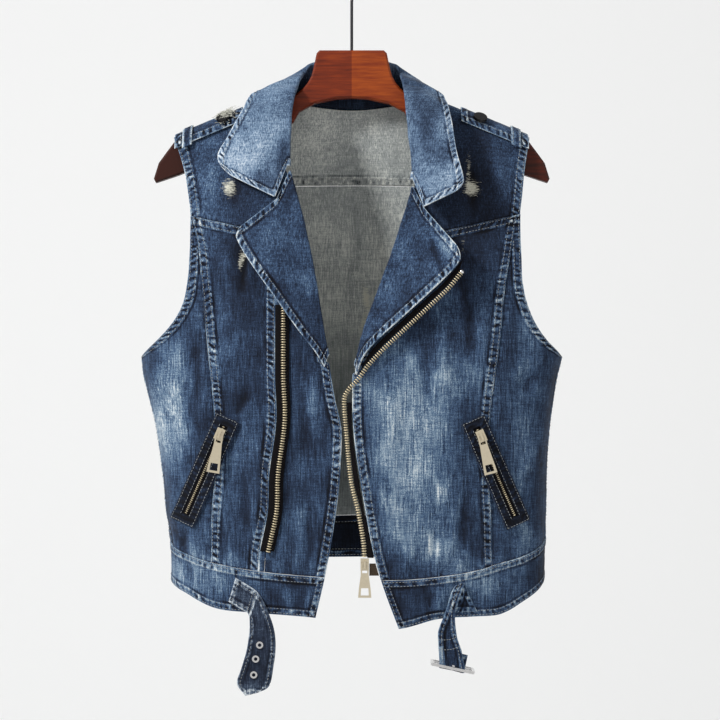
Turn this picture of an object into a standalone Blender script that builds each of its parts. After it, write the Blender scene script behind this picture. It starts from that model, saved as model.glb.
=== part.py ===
"""A sleeveless denim jacket that hangs open on a wooden hanger.

Lengths here are millimetres; make_object turns them into metres. +X is the viewer's right, the front faces -Y
and +Z is up. The origin is where a rail bears in the crook of the hook.

The cloth follows one skin: a ring at each height, named by an angle that is 0 at the middle of the front, 90 at
the viewer's right side and 180 at the middle of the back. Every panel is a wall on that skin between its seams.
"""
import math

import bpy
import numpy as np

MM = 0.001
GAP = 0.3            # between two pieces that meet
CLOTH = 1.6          # denim with its turned edges
BAND_CLOTH = 2.4     # the doubled waistband
FELL = 0.7           # how far a felled seam stands proud
HEM = 9.0            # width of the double-stitched margins
ARM_ROOM = 9.0       # from the hanger's middle plane to the cloth over its arms
RING_POWER = 2.3     # 2 is an ellipse, more is squarer
SHOULDER_TIP = (182.0, -190.0)
SHOULDER_SLOPE = 0.414
CHEST_DEPTH_RISE = 110.0
UNDERARM = -414.0
SIDES = {"l": -1, "r": 1}


def table(names, *rows):
    """Named columns from rows of numbers."""
    return dict(zip(names.split(), np.array(rows, float).T))


def curve(at, xs, ys):
    """A smooth curve through (xs, ys), read at each value of at; past its ends it stays level."""
    xs, ys = np.asarray(xs, float), np.asarray(ys, float)
    if xs[0] > xs[-1]:
        xs, ys = xs[::-1], ys[::-1]
    step = np.diff(xs)
    slope = np.diff(ys) / step
    inner = (slope[:-1] * step[1:] + slope[1:] * step[:-1]) / (step[1:] + step[:-1])
    inner = np.where(slope[:-1] * slope[1:] <= 0, 0, inner)
    tangent = np.concatenate([slope[:1], inner, slope[-1:]])
    at = np.clip(at, xs[0], xs[-1])
    i = np.clip(np.searchsorted(xs, at, side="right") - 1, 0, len(step) - 1)
    t = (at - xs[i]) / step[i]
    rise = (2 * t**3 - 3 * t**2 + 1) * ys[i] + (3 * t**2 - 2 * t**3) * ys[i + 1]
    return rise + step[i] * ((t**3 - 2 * t**2 + t) * tangent[i] + (t**3 - t**2) * tangent[i + 1])


def smooth(t):
    """0 to 1 with level ends."""
    t = np.clip(t, 0, 1)
    return t * t * (3 - 2 * t)


# Half width, sideways shift, and depth in front and behind, at each height
RING = table(
    "height half shift front back",
    (-180, 218, 0, 60, 46),
    (-350, 217, 0, 61, 47),
    (-414, 214, 0, 62, 48),
    (-431, 211, -1, 62, 48),
    (-470, 203, 0.5, 61, 47),
    (-505, 198, 2, 60, 46),
    (-538, 195, 3.3, 60, 46),
    (-571, 193, 4.5, 59, 45),
    (-605, 190.5, 6.5, 58, 44),
    (-640, 189.5, 6.3, 57, 43),
    (-690, 189, 6.3, 57, 43),
)
# The largest soft folds: ridges have a positive rise, troughs a negative one
FOLDS = table(
    "angle top bottom lean half rise",
    (-36, -330, -430, 2, 5, -4.0),
    (-50, -370, -470, -4, 5, -3.5),
    (-24, -440, -610, 2, 6, 2.5),
    (-13, -480, -620, -2, 4, -2.0),
    (26, -420, -600, 3, 8, 3.0),
    (52, -370, -470, 5, 5, -3.5),
    (40, -560, -625, -3, 5, -2.5),
    (68, -470, -600, 3, 6, 2.5),
    (-72, -460, -590, -3, 6, 2.5),
    (150, -430, -600, 3, 8, 3.0),
    (-140, -400, -590, -4, 9, 3.5),
    (-168, -470, -600, 2, 6, -2.5),
    (118, -400, -560, 3, 7, -3.0),
)
# Height of the waistband's two edges round the ring
BAND = table(
    "angle top bottom",
    (-180, -580, -624),
    (-135, -584, -627),
    (-90, -602, -641),
    (-65, -612, -652),
    (-45, -622, -667),
    (-30, -628, -670),
    (-8, -634, -675.5),
    (8, -637, -686),
    (22, -634, -676),
    (36, -628, -674),
    (45, -622, -673),
    (60, -614, -660),
    (90, -597, -638),
    (135, -583, -627),
    (180, -580, -624),
)
# Distance of each armhole edge from the middle, at each height
ARMHOLE = table(
    "height left right",
    (-190, 182, 182),
    (-215, 173, 177.5),
    (-250, 165.5, 173),
    (-276, 162.8, 170.5),
    (-314, 163.4, 171.3),
    (-336, 165, 172),
    (-361, 170, 177),
    (-380, 180.5, 185),
    (-397, 196, 197),
    (-408, 208, 208),
    (-414, 214, 214),
)
# Where each front seam runs, at each height: x of the line in the front view
PRINCESS_L = table("height x", (-276, -160.5), (-300, -155), (-337, -151), (-400, -145), (-464, -138),
                   (-530, -137), (-570, -140), (-630, -141))
PRINCESS_R = table("height x", (-270, 167), (-300, 162), (-337, 155.5), (-400, 148.5), (-470, 139),
                   (-540, 138), (-580, 140), (-635, 141))
ZIP_SEAM_L = table("height x", (-270, -72), (-371, -70.5), (-431, -70.5), (-469, -69), (-535, -76.5),
                   (-567, -77.5), (-608, -85.5), (-640, -88))
# The inner edge of each front: neck seam, then the roll line, then the front edge
FRONT_L = table("height x", (-143.6, -70), (-165, -69), (-190, -68), (-212, -66), (-226, -63), (-248, -55),
                (-285, -46), (-337, -35.5), (-390, -26), (-431, -20.5), (-454, -16.5), (-491, -9.5), (-520, -10.5),
                (-557, -13.5), (-591, -18.5), (-635, -26.5), (-676, -36))
FRONT_R = table("height x", (-143.6, 70), (-165, 69), (-190, 67.5), (-215, 65), (-240, 61), (-256, 57),
                (-307, 41.6), (-340, 29.5), (-360, 21), (-400, 8.5), (-430, 1), (-454, 0.5), (-492, 2),
                (-537, 8.5), (-567, 13.5), (-613, 22.5), (-638, 29.5), (-686, 47))
NECK_BACK = table("x height", (-70, -143.6), (-52, -152), (-27, -156.5), (0, -158), (27, -156.5), (52, -152),
                  (70, -143.6))
# Lapels: the roll line, the outer edge beside it, and how far that edge stands off
LAPEL_L = table(
    "roll_x roll_z edge_x edge_z lift",
    (-62, -227, -116.5, -290, 6),
    (-57, -243, -109, -306, 7),
    (-50, -268, -97, -325, 7),
    (-42, -303, -77, -353, 8),
    (-34, -346, -53, -387, 6),
    (-27.5, -385, -36, -409, 4),
    (-23, -412, -27, -424, 2),
)
LAPEL_R = table(
    "roll_x roll_z edge_x edge_z lift",
    (61, -243, 107.5, -315, 24),
    (53, -270, 97, -331, 22),
    (43, -302, 74, -353.5, 17),
    (31, -336, 49, -376.5, 12),
    (18.5, -368, 26.5, -397, 8),
    (9.5, -396, 12, -413.5, 5),
    (3.5, -422, 5, -432, 2),
)
NOTCH = {"l": (-74.5, -256.5), "r": (72.5, -267.5)}
COLLAR_NOTCH = {"l": (-74.0, -254.0), "r": (71.5, -264.5)}
FOLD_RADIUS = 1.8    # of the middle of the cloth, where a lapel or the collar turns over
ROLL_ROOM = 2.6      # from a roll line to the edge of the front that the lapel turns over from
# The collar from its left front end round the neck to its right front end. turn is the way that it faces, and
# side is -1 in front of the hanger and 1 behind it. Each lift is the distance off the skin.
COLLAR = table(
    "turn side neck_x neck_z neck_lift fold_x fold_z fold_lift edge_x edge_z edge_lift",
    (-8, -1, -61.5, -221, 1.2, -62.5, -221, 5.4, -135.5, -224, 10),
    (-15, -1, -64, -208, 1.2, -62.5, -205, 6.5, -135.5, -210, 10),
    (-30, -1, -66, -187, 1.2, -62, -184, 10, -127, -192, 10),
    (-50, -1, -67, -164, 1.2, -60.5, -160, 13, -115, -169, 11),
    (-75, -1, -67.5, -144, 1.2, -55, -134, 9, -102, -145, 9),
    (-110, 1, -67.5, -144, 1.2, -47, -117, 8, -95, -148, 12),
    (-140, 1, -52, -150.3, 1.2, -40, -110, 14, -74, -168, 11),
    (-165, 1, -27, -154.8, 1.2, -22, -108, 18, -40, -178, 10),
    (-180, 1, 0, -156.3, 1.2, 0, -107.5, 20, 0, -181, 10),
    (-195, 1, 27, -154.8, 1.2, 22, -108, 18, 40, -178, 10),
    (-220, 1, 52, -150.3, 1.2, 40, -110, 14, 74, -166, 11),
    (-250, 1, 67.5, -144, 1.2, 48, -117, 8, 88, -146, 13),
    (-285, -1, 67.5, -144, 1.2, 53, -136, 9, 95, -150, 18),
    (-310, -1, 67, -166, 1.2, 55.5, -164, 12, 101, -176, 26),
    (-330, -1, 65.5, -194, 1.2, 58, -190, 9, 105, -206, 33),
    (-345, -1, 62, -222, 1.2, 60.5, -218, 6.5, 111, -230, 34),
    (-352, -1, 58.5, -235, 1.2, 60.5, -235, 5.4, 113, -245, 34),
)
# Epaulets lie along the shoulder line, under the collar at one end
EPAULET_INNER, EPAULET_OUTER, EPAULET_HALF = 112.0, 181.0, 17.0   # both ends' x, and half the width
EPAULET_LIFT = 0.5
BUTTON_AT, BUTTON_RADIUS, BUTTON_HEIGHT = 131.0, 7.5, 2.6
# Main zip: the right tape from the lapel's tip down the front edge to the slider
ZIP_R = table(
    "edge_x edge_z edge_lift teeth_x teeth_z teeth_lift",
    (107.5, -319, 24, 105.5, -333, 24),
    (92, -339, 21, 94, -347.5, 21),
    (74, -356, 17, 78, -363, 17),
    (50, -378, 12, 54, -385.5, 12),
    (27.5, -399, 8, 31.5, -406.5, 8),
    (14, -416, 6, 17, -422, 5.5),
    (7.5, -433.5, 4.5, 5.5, -437.5, 4.6),
    (0.8, -448, 0, -3.2, -447, 4.4),
    (0.5, -459, 0, -7.3, -459, 1.2),
    (1.4, -492, 0, -5, -492, 0),
    (7.8, -537, 0, -0.5, -537, 0),
    (12.8, -567, 0, 6.5, -567, 0),
    (19, -597, 0, 11.7, -597, 0),
    (22.6, -614.6, 0, 13, -614.6, 0),
)
ZIP_L = table("height x", (-362, -67.5), (-431, -67.5), (-469, -66), (-535, -73.5), (-567, -74.5), (-608, -82.5))
TAPE, TEETH_WIDTH, TEETH_HEIGHT = 0.9, 4.6, 2.4
SLIDER_AT = (13.2, -621.0)
# Pockets: the middle of the zip, its lean from upright, and where the pull hangs
POCKETS = {
    "l": {"middle": (-146.0, -527.5), "lean": 23.5, "pull_lean": 10.0},
    "r": {"middle": (143.5, -529.5), "lean": -23.5, "pull_lean": -14.5},
}
WELT_HALF, WELT_WIDE, SLOT_HALF, SLOT_WIDE = 58.0, 13.0, 49.0, 3.6
WELT_LIFT = 0.8
# Straps, a row for each cross-section: one edge, the other edge, and the distance off the skin
STRAP_L = table(
    "left_x left_z right_x right_z lift",
    (-123, -659, -116, -635, 3.6),
    (-111, -666, -104, -642, 3.8),
    (-103, -671, -93, -650, 4.4),
    (-101.5, -682, -85, -664, 6),
    (-102.5, -694, -77.5, -684, 7.5),
    (-105, -708, -75.5, -702, 8),
    (-110, -725, -77.5, -721, 7),
    (-114.5, -740, -82, -742, 6),
    (-106, -752.5, -93, -749, 6),
)
STRAP_R = table(
    "left_x left_z right_x right_z lift",
    (102, -669, 126, -669, 3.6),
    (106, -657, 120, -657, 3.6),
    (108, -647, 115, -646, 3.9),
    (104.5, -642.5, 113, -640.5, 6.2),
    (99.5, -649, 110, -648, 8.6),
    (93.5, -668, 103, -670, 10),
    (86, -690, 105, -692, 10.5),
    (86.5, -703, 109.5, -706, 10.5),
)
STRAP_CLOTH = 2.0
EYELETS = ((-91.5, -701.0), (-95.5, -715.0), (-97.5, -731.0))
EYELET_RADIUS, EYELET_HOLE, EYELET_HEIGHT = 4.0, 1.8, 0.8
# Buckle: the bar's middle, its tilt, and the frame's outer size
BUCKLE_MIDDLE = (100.5, -722.5)
BUCKLE_TILT = -12.0
BUCKLE_WIDE, BUCKLE_LONG, BUCKLE_BAR = 44.0, 30.0, 2.8
LOOP_HALF, LOOP_RADIUS, PRONG_GAP = 13.0, 3.3, 3.2
# Hanger
WOOD_HALF = 7.0
WOOD_EDGE = 2.0
ARM_BELOW = 2.5      # from the shoulder line down to the top of the arms
WIRE_RADIUS, CROOK_RADIUS = 1.5, 20.0
STEM_TOP, CROOK_START, CROOK_END = -48.0, -60.0, 182.0
WOOD_TOP = -99.3


def shoulder(x):
    """Height of the shoulder line."""
    return SHOULDER_TIP[1] + SHOULDER_SLOPE * (SHOULDER_TIP[0] - np.abs(x))


def angle_of(x, z):
    """The ring angle, in front, of a place in the front view."""
    s = np.clip((x - curve(z, RING["height"], RING["shift"])) / curve(z, RING["height"], RING["half"]), -1, 1)
    return np.degrees(np.arcsin(np.sign(s) * np.abs(s) ** (RING_POWER / 2)))


def fold_rise(angle, z):
    """How far the soft folds push the cloth out."""
    total = np.zeros(np.broadcast(angle, z).shape)
    for at, top, bottom, lean, half, rise in zip(*FOLDS.values()):
        along = (top - z) / (top - bottom)
        across = (angle - at - lean * (along - 0.5)) / half
        total = total + rise * np.exp(-across**2) * smooth(along * 3) * smooth((1 - along) * 3)
    return total


def skin(angle, z):
    """The cloth's inner face. angle runs from -180 to 180."""
    s, c = np.sin(np.radians(angle)), np.cos(np.radians(angle))
    x = curve(z, RING["height"], RING["shift"])
    x = x + curve(z, RING["height"], RING["half"]) * np.sign(s) * np.abs(s) ** (2 / RING_POWER)
    below = np.maximum(shoulder(x) - z, 0)
    cap = np.sqrt(1 - (1 - np.minimum(below / ARM_ROOM, 1)) ** 2)
    chest = 1 - np.exp(-((below / CHEST_DEPTH_RISE) ** 1.2))
    deep = np.where(c > 0, curve(z, RING["height"], RING["front"]), curve(z, RING["height"], RING["back"]))
    deep = (deep + fold_rise(angle, z)) * np.abs(c) ** (2 / RING_POWER)
    y = -np.sign(c) * (ARM_ROOM * cap * smooth(np.abs(c) / 0.4) + deep * chest)
    y = y - np.sign(c) * 0.5 * GAP * smooth(np.abs(c) / 0.1)
    return np.stack(np.broadcast_arrays(x, y, z), -1)


def unit(vectors):
    return vectors / np.maximum(np.linalg.norm(vectors, axis=-1, keepdims=True), 1e-9)


def facing(angle, z):
    """The skin's outward direction."""
    around = skin(angle + 0.2, z) - skin(angle - 0.2, z)
    down = skin(angle, z - 0.3) - skin(angle, np.minimum(z + 0.3, shoulder(skin(angle, z)[..., 0])))
    return unit(np.cross(down, around))


def cloth(angle, z, out):
    """A point at a distance out from the cloth's inner face."""
    out = np.asarray(out, float)[..., None]
    return skin(angle, z) + facing(angle, z) * out


def on_front(x, z, out):
    """The same, from a place in the front view."""
    return cloth(angle_of(x, z), z, out)


def seam_angle(name, height):
    """Angle of one of the front's lines at a height."""
    return angle_of(curve(height, name["height"], name["x"]), height)


def armhole_angle(side, z):
    column = "left" if side < 0 else "right"
    return angle_of(side * curve(z, ARMHOLE["height"], ARMHOLE[column]), np.asarray(z, float))


def yoke_height(angle):
    """Height of the yoke seam, in front and behind."""
    x = np.abs(skin(angle, np.full(np.shape(angle), -280.0))[..., 0])
    front = -270.5 - 0.235 * (166 - x)
    back = -235 - 9 * (x / 170) ** 2
    return np.where(np.abs(angle) < 90, front, back)


def band_height(angle, edge):
    return curve(angle, BAND["angle"], BAND[edge])


def level(angle, v):
    """Height at a level: 0 is the yoke seam, 1 the underarm, 2 the waistband's seam and 3 the hem."""
    stops = [yoke_height(angle), np.full(np.shape(angle), UNDERARM), band_height(angle, "top"),
             band_height(angle, "bottom")]
    z = stops[0]
    for k in range(3):
        z = z + (stops[k + 1] - stops[k]) * np.clip(v - k, 0, 1)
    return z


def line_angle(line, v):
    """Angle at which a front line, or an armhole (a side of -1 or 1), meets a level."""
    angle = np.full(np.shape(v), 30.0)
    if not isinstance(line, dict):
        angle = angle * line
    elif line["x"].mean() < 0:
        angle = -angle
    for _ in range(12):
        z = level(angle, v)
        angle = armhole_angle(line, z) if not isinstance(line, dict) else seam_angle(line, z)
    return angle


def material(name, colour, roughness, metallic=0.0):
    made = bpy.data.materials.new(name)
    made.use_nodes = True
    shader = made.node_tree.nodes["Principled BSDF"]
    shader.inputs["Base Color"].default_value = (*colour, 1)
    shader.inputs["Roughness"].default_value = roughness
    shader.inputs["Metallic"].default_value = metallic
    return made


FINISHES = {
    "denim": ((0.045, 0.09, 0.2), 0.9, 0.0),
    "denim_dark": ((0.02, 0.035, 0.085), 0.9, 0.0),
    "denim_pale": ((0.2, 0.3, 0.42), 0.9, 0.0),
    "tape": ((0.015, 0.014, 0.018), 0.85, 0.0),
    "brass": ((0.45, 0.33, 0.17), 0.4, 1.0),
    "nickel": ((0.62, 0.57, 0.48), 0.35, 1.0),
    "silver": ((0.7, 0.7, 0.7), 0.3, 1.0),
    "wood": ((0.25, 0.06, 0.02), 0.4, 0.0),
    "wire": ((0.12, 0.12, 0.12), 0.35, 1.0),
}


def make_object(name, points, faces, finish, origin=(0.0, 0.0, 0.0)):
    """One closed object; origin is the point that it turns about."""
    points = np.asarray(points, float)
    inside = 0.0
    for face in faces:
        corner = points[face]
        turned = np.cross(corner[1:-1] - corner[0], corner[2:] - corner[0])
        inside += float((turned @ (corner[0] - points[0])).sum())
    if inside < 0:
        faces = [f[::-1] for f in faces]
    mesh = bpy.data.meshes.new(name)
    mesh.from_pydata(((points - origin) * MM).tolist(), [], faces)
    mesh.materials.append(material(name, *FINISHES[finish]))
    mesh.shade_smooth()
    mesh.set_sharp_from_angle(angle=math.radians(40))
    made = bpy.data.objects.new(name, mesh)
    made.location = [k * MM for k in origin]
    bpy.context.collection.objects.link(made)
    return made


def block(name, grid, finish, full=None, origin=(0.0, 0.0, 0.0)):
    """A solid from a grid of corners (across, down, through, 3). full says which of its cells are solid."""
    shape = np.array(grid.shape[:3])
    cells = np.ones(shape - 1, bool) if full is None else full
    padded = np.zeros(shape + 1, bool)
    padded[1:-1, 1:-1, 1:-1] = cells
    number = np.arange(shape.prod()).reshape(shape)
    faces = []
    for axis, (p, q) in enumerate(((1, 2), (2, 0), (0, 1))):
        for i, j, k in np.argwhere(cells):
            for way in (0, 1):
                beside = [i + 1, j + 1, k + 1]
                beside[axis] += 2 * way - 1
                if padded[tuple(beside)]:
                    continue
                corner = np.array([i, j, k])
                corner[axis] += way
                ring = []
                for dp, dq in ((0, 0), (1, 0), (1, 1), (0, 1)):
                    at = corner.copy()
                    at[p] += dp
                    at[q] += dq
                    ring.append(int(number[tuple(at)]))
                faces.append(ring if way else ring[::-1])
    used = sorted({i for f in faces for i in f})
    renumber = {old: new for new, old in enumerate(used)}
    faces = [[renumber[i] for i in f] for f in faces]
    return make_object(name, grid.reshape(-1, 3)[used], faces, finish, origin)


def stations(count, start=0.0, end=0.0):
    """Places across a panel: share of the width, millimetres from the near edge, and whether it is raised.
    start and end are the widths of raised margins."""
    low = start + 0.9 if start else 0.0
    high = end + 0.9 if end else 0.0
    rows = [(0.0, 0.0, 1.0), (0.0, start, 1.0)] if start else []
    for f in np.linspace(0, 1, count + 1):
        rows.append((f, (1 - f) * low - f * high, 0.0))
    rows += [(1.0, -end, 1.0), (1.0, 0.0, 1.0)] if end else []
    return np.array(rows).T


def speed(angle, z):
    """Millimetres of cloth for each degree."""
    return np.linalg.norm(skin(angle + 0.5, z) - skin(angle - 0.5, z), axis=-1)


def panel(name, left, right, rows, columns=8, margins=(0.0, 0.0), thick=CLOTH):
    """A panel between two lines, each an array of angles with one for each row of heights rows(angle)."""
    share, off, raised = stations(columns, *margins)
    half = GAP / 2
    middle = (left + right) / 2
    heights = rows(middle)
    per_degree = speed(middle, heights)
    width = (right - left) * per_degree
    room = np.minimum(1, width / (2.4 * sum(margins) + 1e-6))
    angle = left[None] + (right - left)[None] * share[:, None] + off[:, None] * room / per_degree
    angle = np.clip(angle, left + half / per_degree, right - half / per_degree)
    z = np.stack([rows(angle[i]) for i in range(len(share))])
    z[:, 0] -= half
    z[:, -1] += half
    inner, outer = cloth(angle, z, np.zeros_like(z)), cloth(angle, z, thick + raised[:, None] * FELL)
    return block(name, np.stack([inner, outer], 2), "denim")


def level_rows(levels):
    return lambda angle: level(angle, levels)


def fronts_and_back():
    """The panels below the yokes."""
    upper, lower = np.linspace(0, 1, 8), np.linspace(1, 2, 8)[1:]
    levels = np.concatenate([upper, lower])
    rows = level_rows(levels)
    for key, princess, inner in (("l", PRINCESS_L, ZIP_SEAM_L), ("r", PRINCESS_R, FRONT_R)):
        side = SIDES[key]
        edge = np.where(levels < 1, line_angle(side, np.minimum(levels, 0.999)), side * 90.0)
        seam, inside = line_angle(princess, levels), line_angle(inner, levels)
        inside = inside + side * roll_inset(key, levels) if key == "r" else inside
        ends = (edge, seam) if side < 0 else (seam, edge)
        panel(f"side_front_{key}", *ends, rows, columns=5)
        ends = (seam, inside) if side < 0 else (inside, seam)
        margins = (HEM, 0.0) if side < 0 else (0.0, HEM)
        panel(f"centre_front_{key}", *ends, rows, columns=7 if side < 0 else 13, margins=margins)
    front = line_angle(FRONT_L, levels) - roll_inset("l", levels)
    panel("overlap_front_l", line_angle(ZIP_SEAM_L, levels), front, rows, columns=5)
    back_levels = np.concatenate([np.linspace(0, 1, 8), np.linspace(1, 2, 7)[1:]])
    back = []
    for side in (-1, 1):
        angle = np.full(len(back_levels), side * 130.0)
        for _ in range(12):
            angle = side * 180 - armhole_angle(side, level(angle, np.minimum(back_levels, 0.999)))
        back.append(np.where(back_levels < 1, angle, side * 90.0))
    panel("panel_back", back[1], back[0] + 360, wrapped(back_levels), columns=22)


def around(angle):
    """The same angle between -180 and 180."""
    return (np.asarray(angle) + 180) % 360 - 180


def wrapped(levels):
    return lambda angle: level(around(angle), levels)


def roll_inset(key, levels):
    """Degrees by which a front stops short of its roll line, where the lapel turns over."""
    line = FRONT_L if key == "l" else FRONT_R
    angle = line_angle(line, levels)
    z = level(angle, levels)
    end = LAPEL_L["roll_z"][-1] if key == "l" else LAPEL_R["roll_z"][-1]
    return np.where(z > end - 8, ROLL_ROOM / speed(angle, z), 0.0)


def yokes():
    """Front and back yokes, over the hanger's arms."""
    steps = np.array([0, 1.2, 4.5, 9.0])

    def rows_to(bottom, count):
        def rows(angle):
            near = around(angle)
            x = skin(near, np.full(np.shape(near), -300.0))[..., 0]
            top = shoulder(x)
            down = top - bottom(near)
            rest = np.linspace(0, 1, count + 1)[1:]
            return top - np.concatenate([steps, steps[-1] + rest * (down[len(steps):] - steps[-1])])
        return rows

    count = 7
    length = len(steps) + count
    for key, line in (("l", FRONT_L), ("r", FRONT_R)):
        side = SIDES[key]
        rows = rows_to(yoke_height, count)
        edge, neck = np.full(length, side * 50.0), np.full(length, side * 18.0)
        for _ in range(12):
            edge = armhole_angle(side, rows(edge))
            neck = seam_angle(line, rows(neck))
        z = rows(neck)
        roll = LAPEL_L["roll_z"][0] if key == "l" else LAPEL_R["roll_z"][0]
        neck = neck + side * np.where(z < roll + 12, ROLL_ROOM / speed(neck, z), 0.0)
        ends = (edge, neck) if side < 0 else (neck, edge)
        margins = (HEM, 0.0) if side < 0 else (0.0, HEM)
        panel(f"yoke_front_{key}", *ends, rows, columns=8, margins=margins)

    def neck_rows(angle):
        """From the shoulder line or the neck seam down to the yoke seam."""
        near = around(angle)
        x = skin(near, np.full(np.shape(near), -300.0))[..., 0]
        inside = np.abs(x) < 70
        top = np.where(inside, curve(x, NECK_BACK["x"], NECK_BACK["height"]), shoulder(x))
        first = np.where(inside, 0.0, steps[0])
        down = top - yoke_height(near)
        parts = np.concatenate([steps, steps[-1] + np.linspace(0, 1, 6)[1:] * (down[len(steps):] - steps[-1])])
        return top - first - parts

    length = len(steps) + 5
    ends = []
    for side in (1, -1):
        angle = np.full(length, side * 130.0)
        for _ in range(12):
            angle = side * 180 - armhole_angle(side, neck_rows(angle))
        ends.append(angle)
    panel("yoke_back", ends[0], ends[1] + 360, neck_rows, columns=22, margins=(HEM, HEM))


def waistbands():
    """Left front, right front and back."""
    levels = np.array([2.0, 2.35, 2.7, 3.0])
    rows = wrapped(levels)
    left, right = line_angle(FRONT_L, levels), line_angle(FRONT_R, levels)
    side = np.full(len(levels), 90.0)
    panel("waistband_front_l", -side, left, rows, columns=14, thick=BAND_CLOTH)
    panel("waistband_front_r", right, side, rows, columns=14, thick=BAND_CLOTH)
    panel("waistband_back", side, -side + 360, rows, columns=20, thick=BAND_CLOTH)


def centre_wall(middle, thick):
    """Both faces of a wall about a grid of middle points."""
    across = np.gradient(middle, axis=0)
    down = np.gradient(middle, axis=1)
    out = unit(np.cross(down, across)) * thick / 2
    return np.stack([middle - out, middle + out], 2)


def lapel_point(key, arc, share, t):
    """A point of a lapel's middle surface. arc is the angle round the fold, from -90 where it leaves the front
    to 90 where it lies on it; share runs on from there to the outer edge, and t runs down the roll line."""
    rows = LAPEL_L if key == "l" else LAPEL_R
    at = np.linspace(0, 1, len(rows["lift"]))
    roll_x, roll_z, edge_x, edge_z, lift = (curve(t, at, rows[k]) for k in rows)
    width = np.hypot(edge_x - roll_x, edge_z - roll_z)
    turned = np.radians(arc)
    near = FOLD_RADIUS * (1 - np.cos(turned))
    off = CLOTH / 2 + FOLD_RADIUS * (1 + np.sin(turned))
    near = near + share * (width - FOLD_RADIUS)
    off = off + lift * share**1.3
    part = near / width
    x, z = roll_x + (edge_x - roll_x) * part, roll_z + (edge_z - roll_z) * part
    corner = np.array(NOTCH[key])
    start = np.array([rows["roll_x"][0], rows["roll_z"][0]])
    tip = np.array([rows["edge_x"][0], rows["edge_z"][0]])
    at_notch = np.linalg.norm(corner - start) / (np.linalg.norm(corner - start) + np.linalg.norm(tip - corner))
    rise = np.maximum(0, np.minimum(part / at_notch, (1 - part) / (1 - at_notch)))
    bend = corner - (start + (tip - start) * at_notch)
    fade = (1 - np.clip(t * 2.2, 0, 1)) ** 2 * rise
    return on_front(x + bend[0] * fade, z + bend[1] * fade, off)


def lapels():
    for key in SIDES:
        arcs = np.array([-90, -45, 0, 45, 90, 90, 90, 90, 90, 90.0])
        shares = np.array([0, 0, 0, 0, 0, 0.2, 0.4, 0.6, 0.8, 1.0])
        t = np.linspace(0, 1, 12)
        arc, t_grid = np.meshgrid(arcs, t, indexing="ij")
        share = np.meshgrid(shares, t, indexing="ij")[0]
        block(f"lapel_{key}", centre_wall(lapel_point(key, arc, share, t_grid), CLOTH), "denim")


def collar_frames(t):
    """Neck, fold and edge points of the collar, and the way that it faces, at each t from 0 to 1."""
    at = np.linspace(0, 1, len(COLLAR["turn"]))
    value = {k: curve(t, at, COLLAR[k]) for k in COLLAR}
    found = []
    for part in ("neck", "fold", "edge"):
        x, z = value[part + "_x"], value[part + "_z"]
        front, back = skin(angle_of(x, z), z), skin(around(180 - angle_of(x, z)), z)
        y_front, y_back = front[..., 1] - value[part + "_lift"], back[..., 1] + value[part + "_lift"]
        blend = smooth((value["side"] + 1) / 2)
        found.append(np.stack([x, y_front * (1 - blend) + y_back * blend, z], -1))
    turn = np.radians(value["turn"])
    out = np.stack([np.sin(turn), -np.cos(turn), 0.6 * np.abs(np.sin(turn))], -1)
    return (*found, unit(out))


def collar_point(stand, arc, share, t):
    """A point of the collar's middle surface. stand runs 0 to 1 up from the neck seam, arc -90 to 90 round the
    fold, and share 0 to 1 down to the outer edge."""
    neck, fold, edge, out = collar_frames(t)
    reach = np.minimum(np.linalg.norm(neck - fold, axis=-1, keepdims=True) / 12, 1)
    back = unit(unit(edge - fold) + reach * unit(neck - fold))
    out = unit(out - (out * back).sum(-1, keepdims=True) * back)
    turned = np.radians(arc)[..., None]
    bow = fold + back * FOLD_RADIUS * (1 - np.cos(turned)) + out * FOLD_RADIUS * np.sin(turned)
    stand, share = stand[..., None], share[..., None]
    crown = 3.0 * np.sin(np.pi * share) * out
    point = neck + (bow - neck) * stand
    point = np.where(share > 0, bow + (edge - bow) * share + crown, point)
    for key, near_end in (("l", t), ("r", 1 - t)):
        rows = 0 if key == "l" else -1
        corner = np.array(COLLAR_NOTCH[key])
        start = np.array([COLLAR["fold_x"][rows], COLLAR["fold_z"][rows]])
        tip = np.array([COLLAR["edge_x"][rows], COLLAR["edge_z"][rows]])
        length = np.linalg.norm(corner - start)
        at_notch = length / (length + np.linalg.norm(tip - corner))
        part = share[..., 0]
        rise = np.maximum(0, np.minimum(part / at_notch, (1 - part) / (1 - at_notch)))
        bend = corner - (start + (tip - start) * at_notch)
        fade = (1 - np.clip(near_end * 9, 0, 1)) ** 2 * rise
        x, z = point[..., 0], point[..., 2]
        before, after = on_front(x, z, 0.0 * x), on_front(x + bend[0] * fade, z + bend[1] * fade, 0.0 * x)
        point = np.where(fade[..., None] > 0, point + after - before, point)
    return point


def collar():
    stands = np.array([0, 0.5, 1, 1, 1, 1, 1, 1, 1, 1, 1, 1.0])
    arcs = np.array([-90, -90, -90, -45, 0, 45, 90, 90, 90, 90, 90, 90.0])
    shares = np.array([0, 0, 0, 0, 0, 0, 0, 0.2, 0.4, 0.6, 0.8, 1.0])
    t = np.linspace(0, 1, 33)
    stand, t_grid = np.meshgrid(stands, t, indexing="ij")
    arc, share = np.meshgrid(arcs, t, indexing="ij")[0], np.meshgrid(shares, t, indexing="ij")[0]
    block("collar", centre_wall(collar_point(stand, arc, share, t_grid), CLOTH), "denim_pale")


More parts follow.
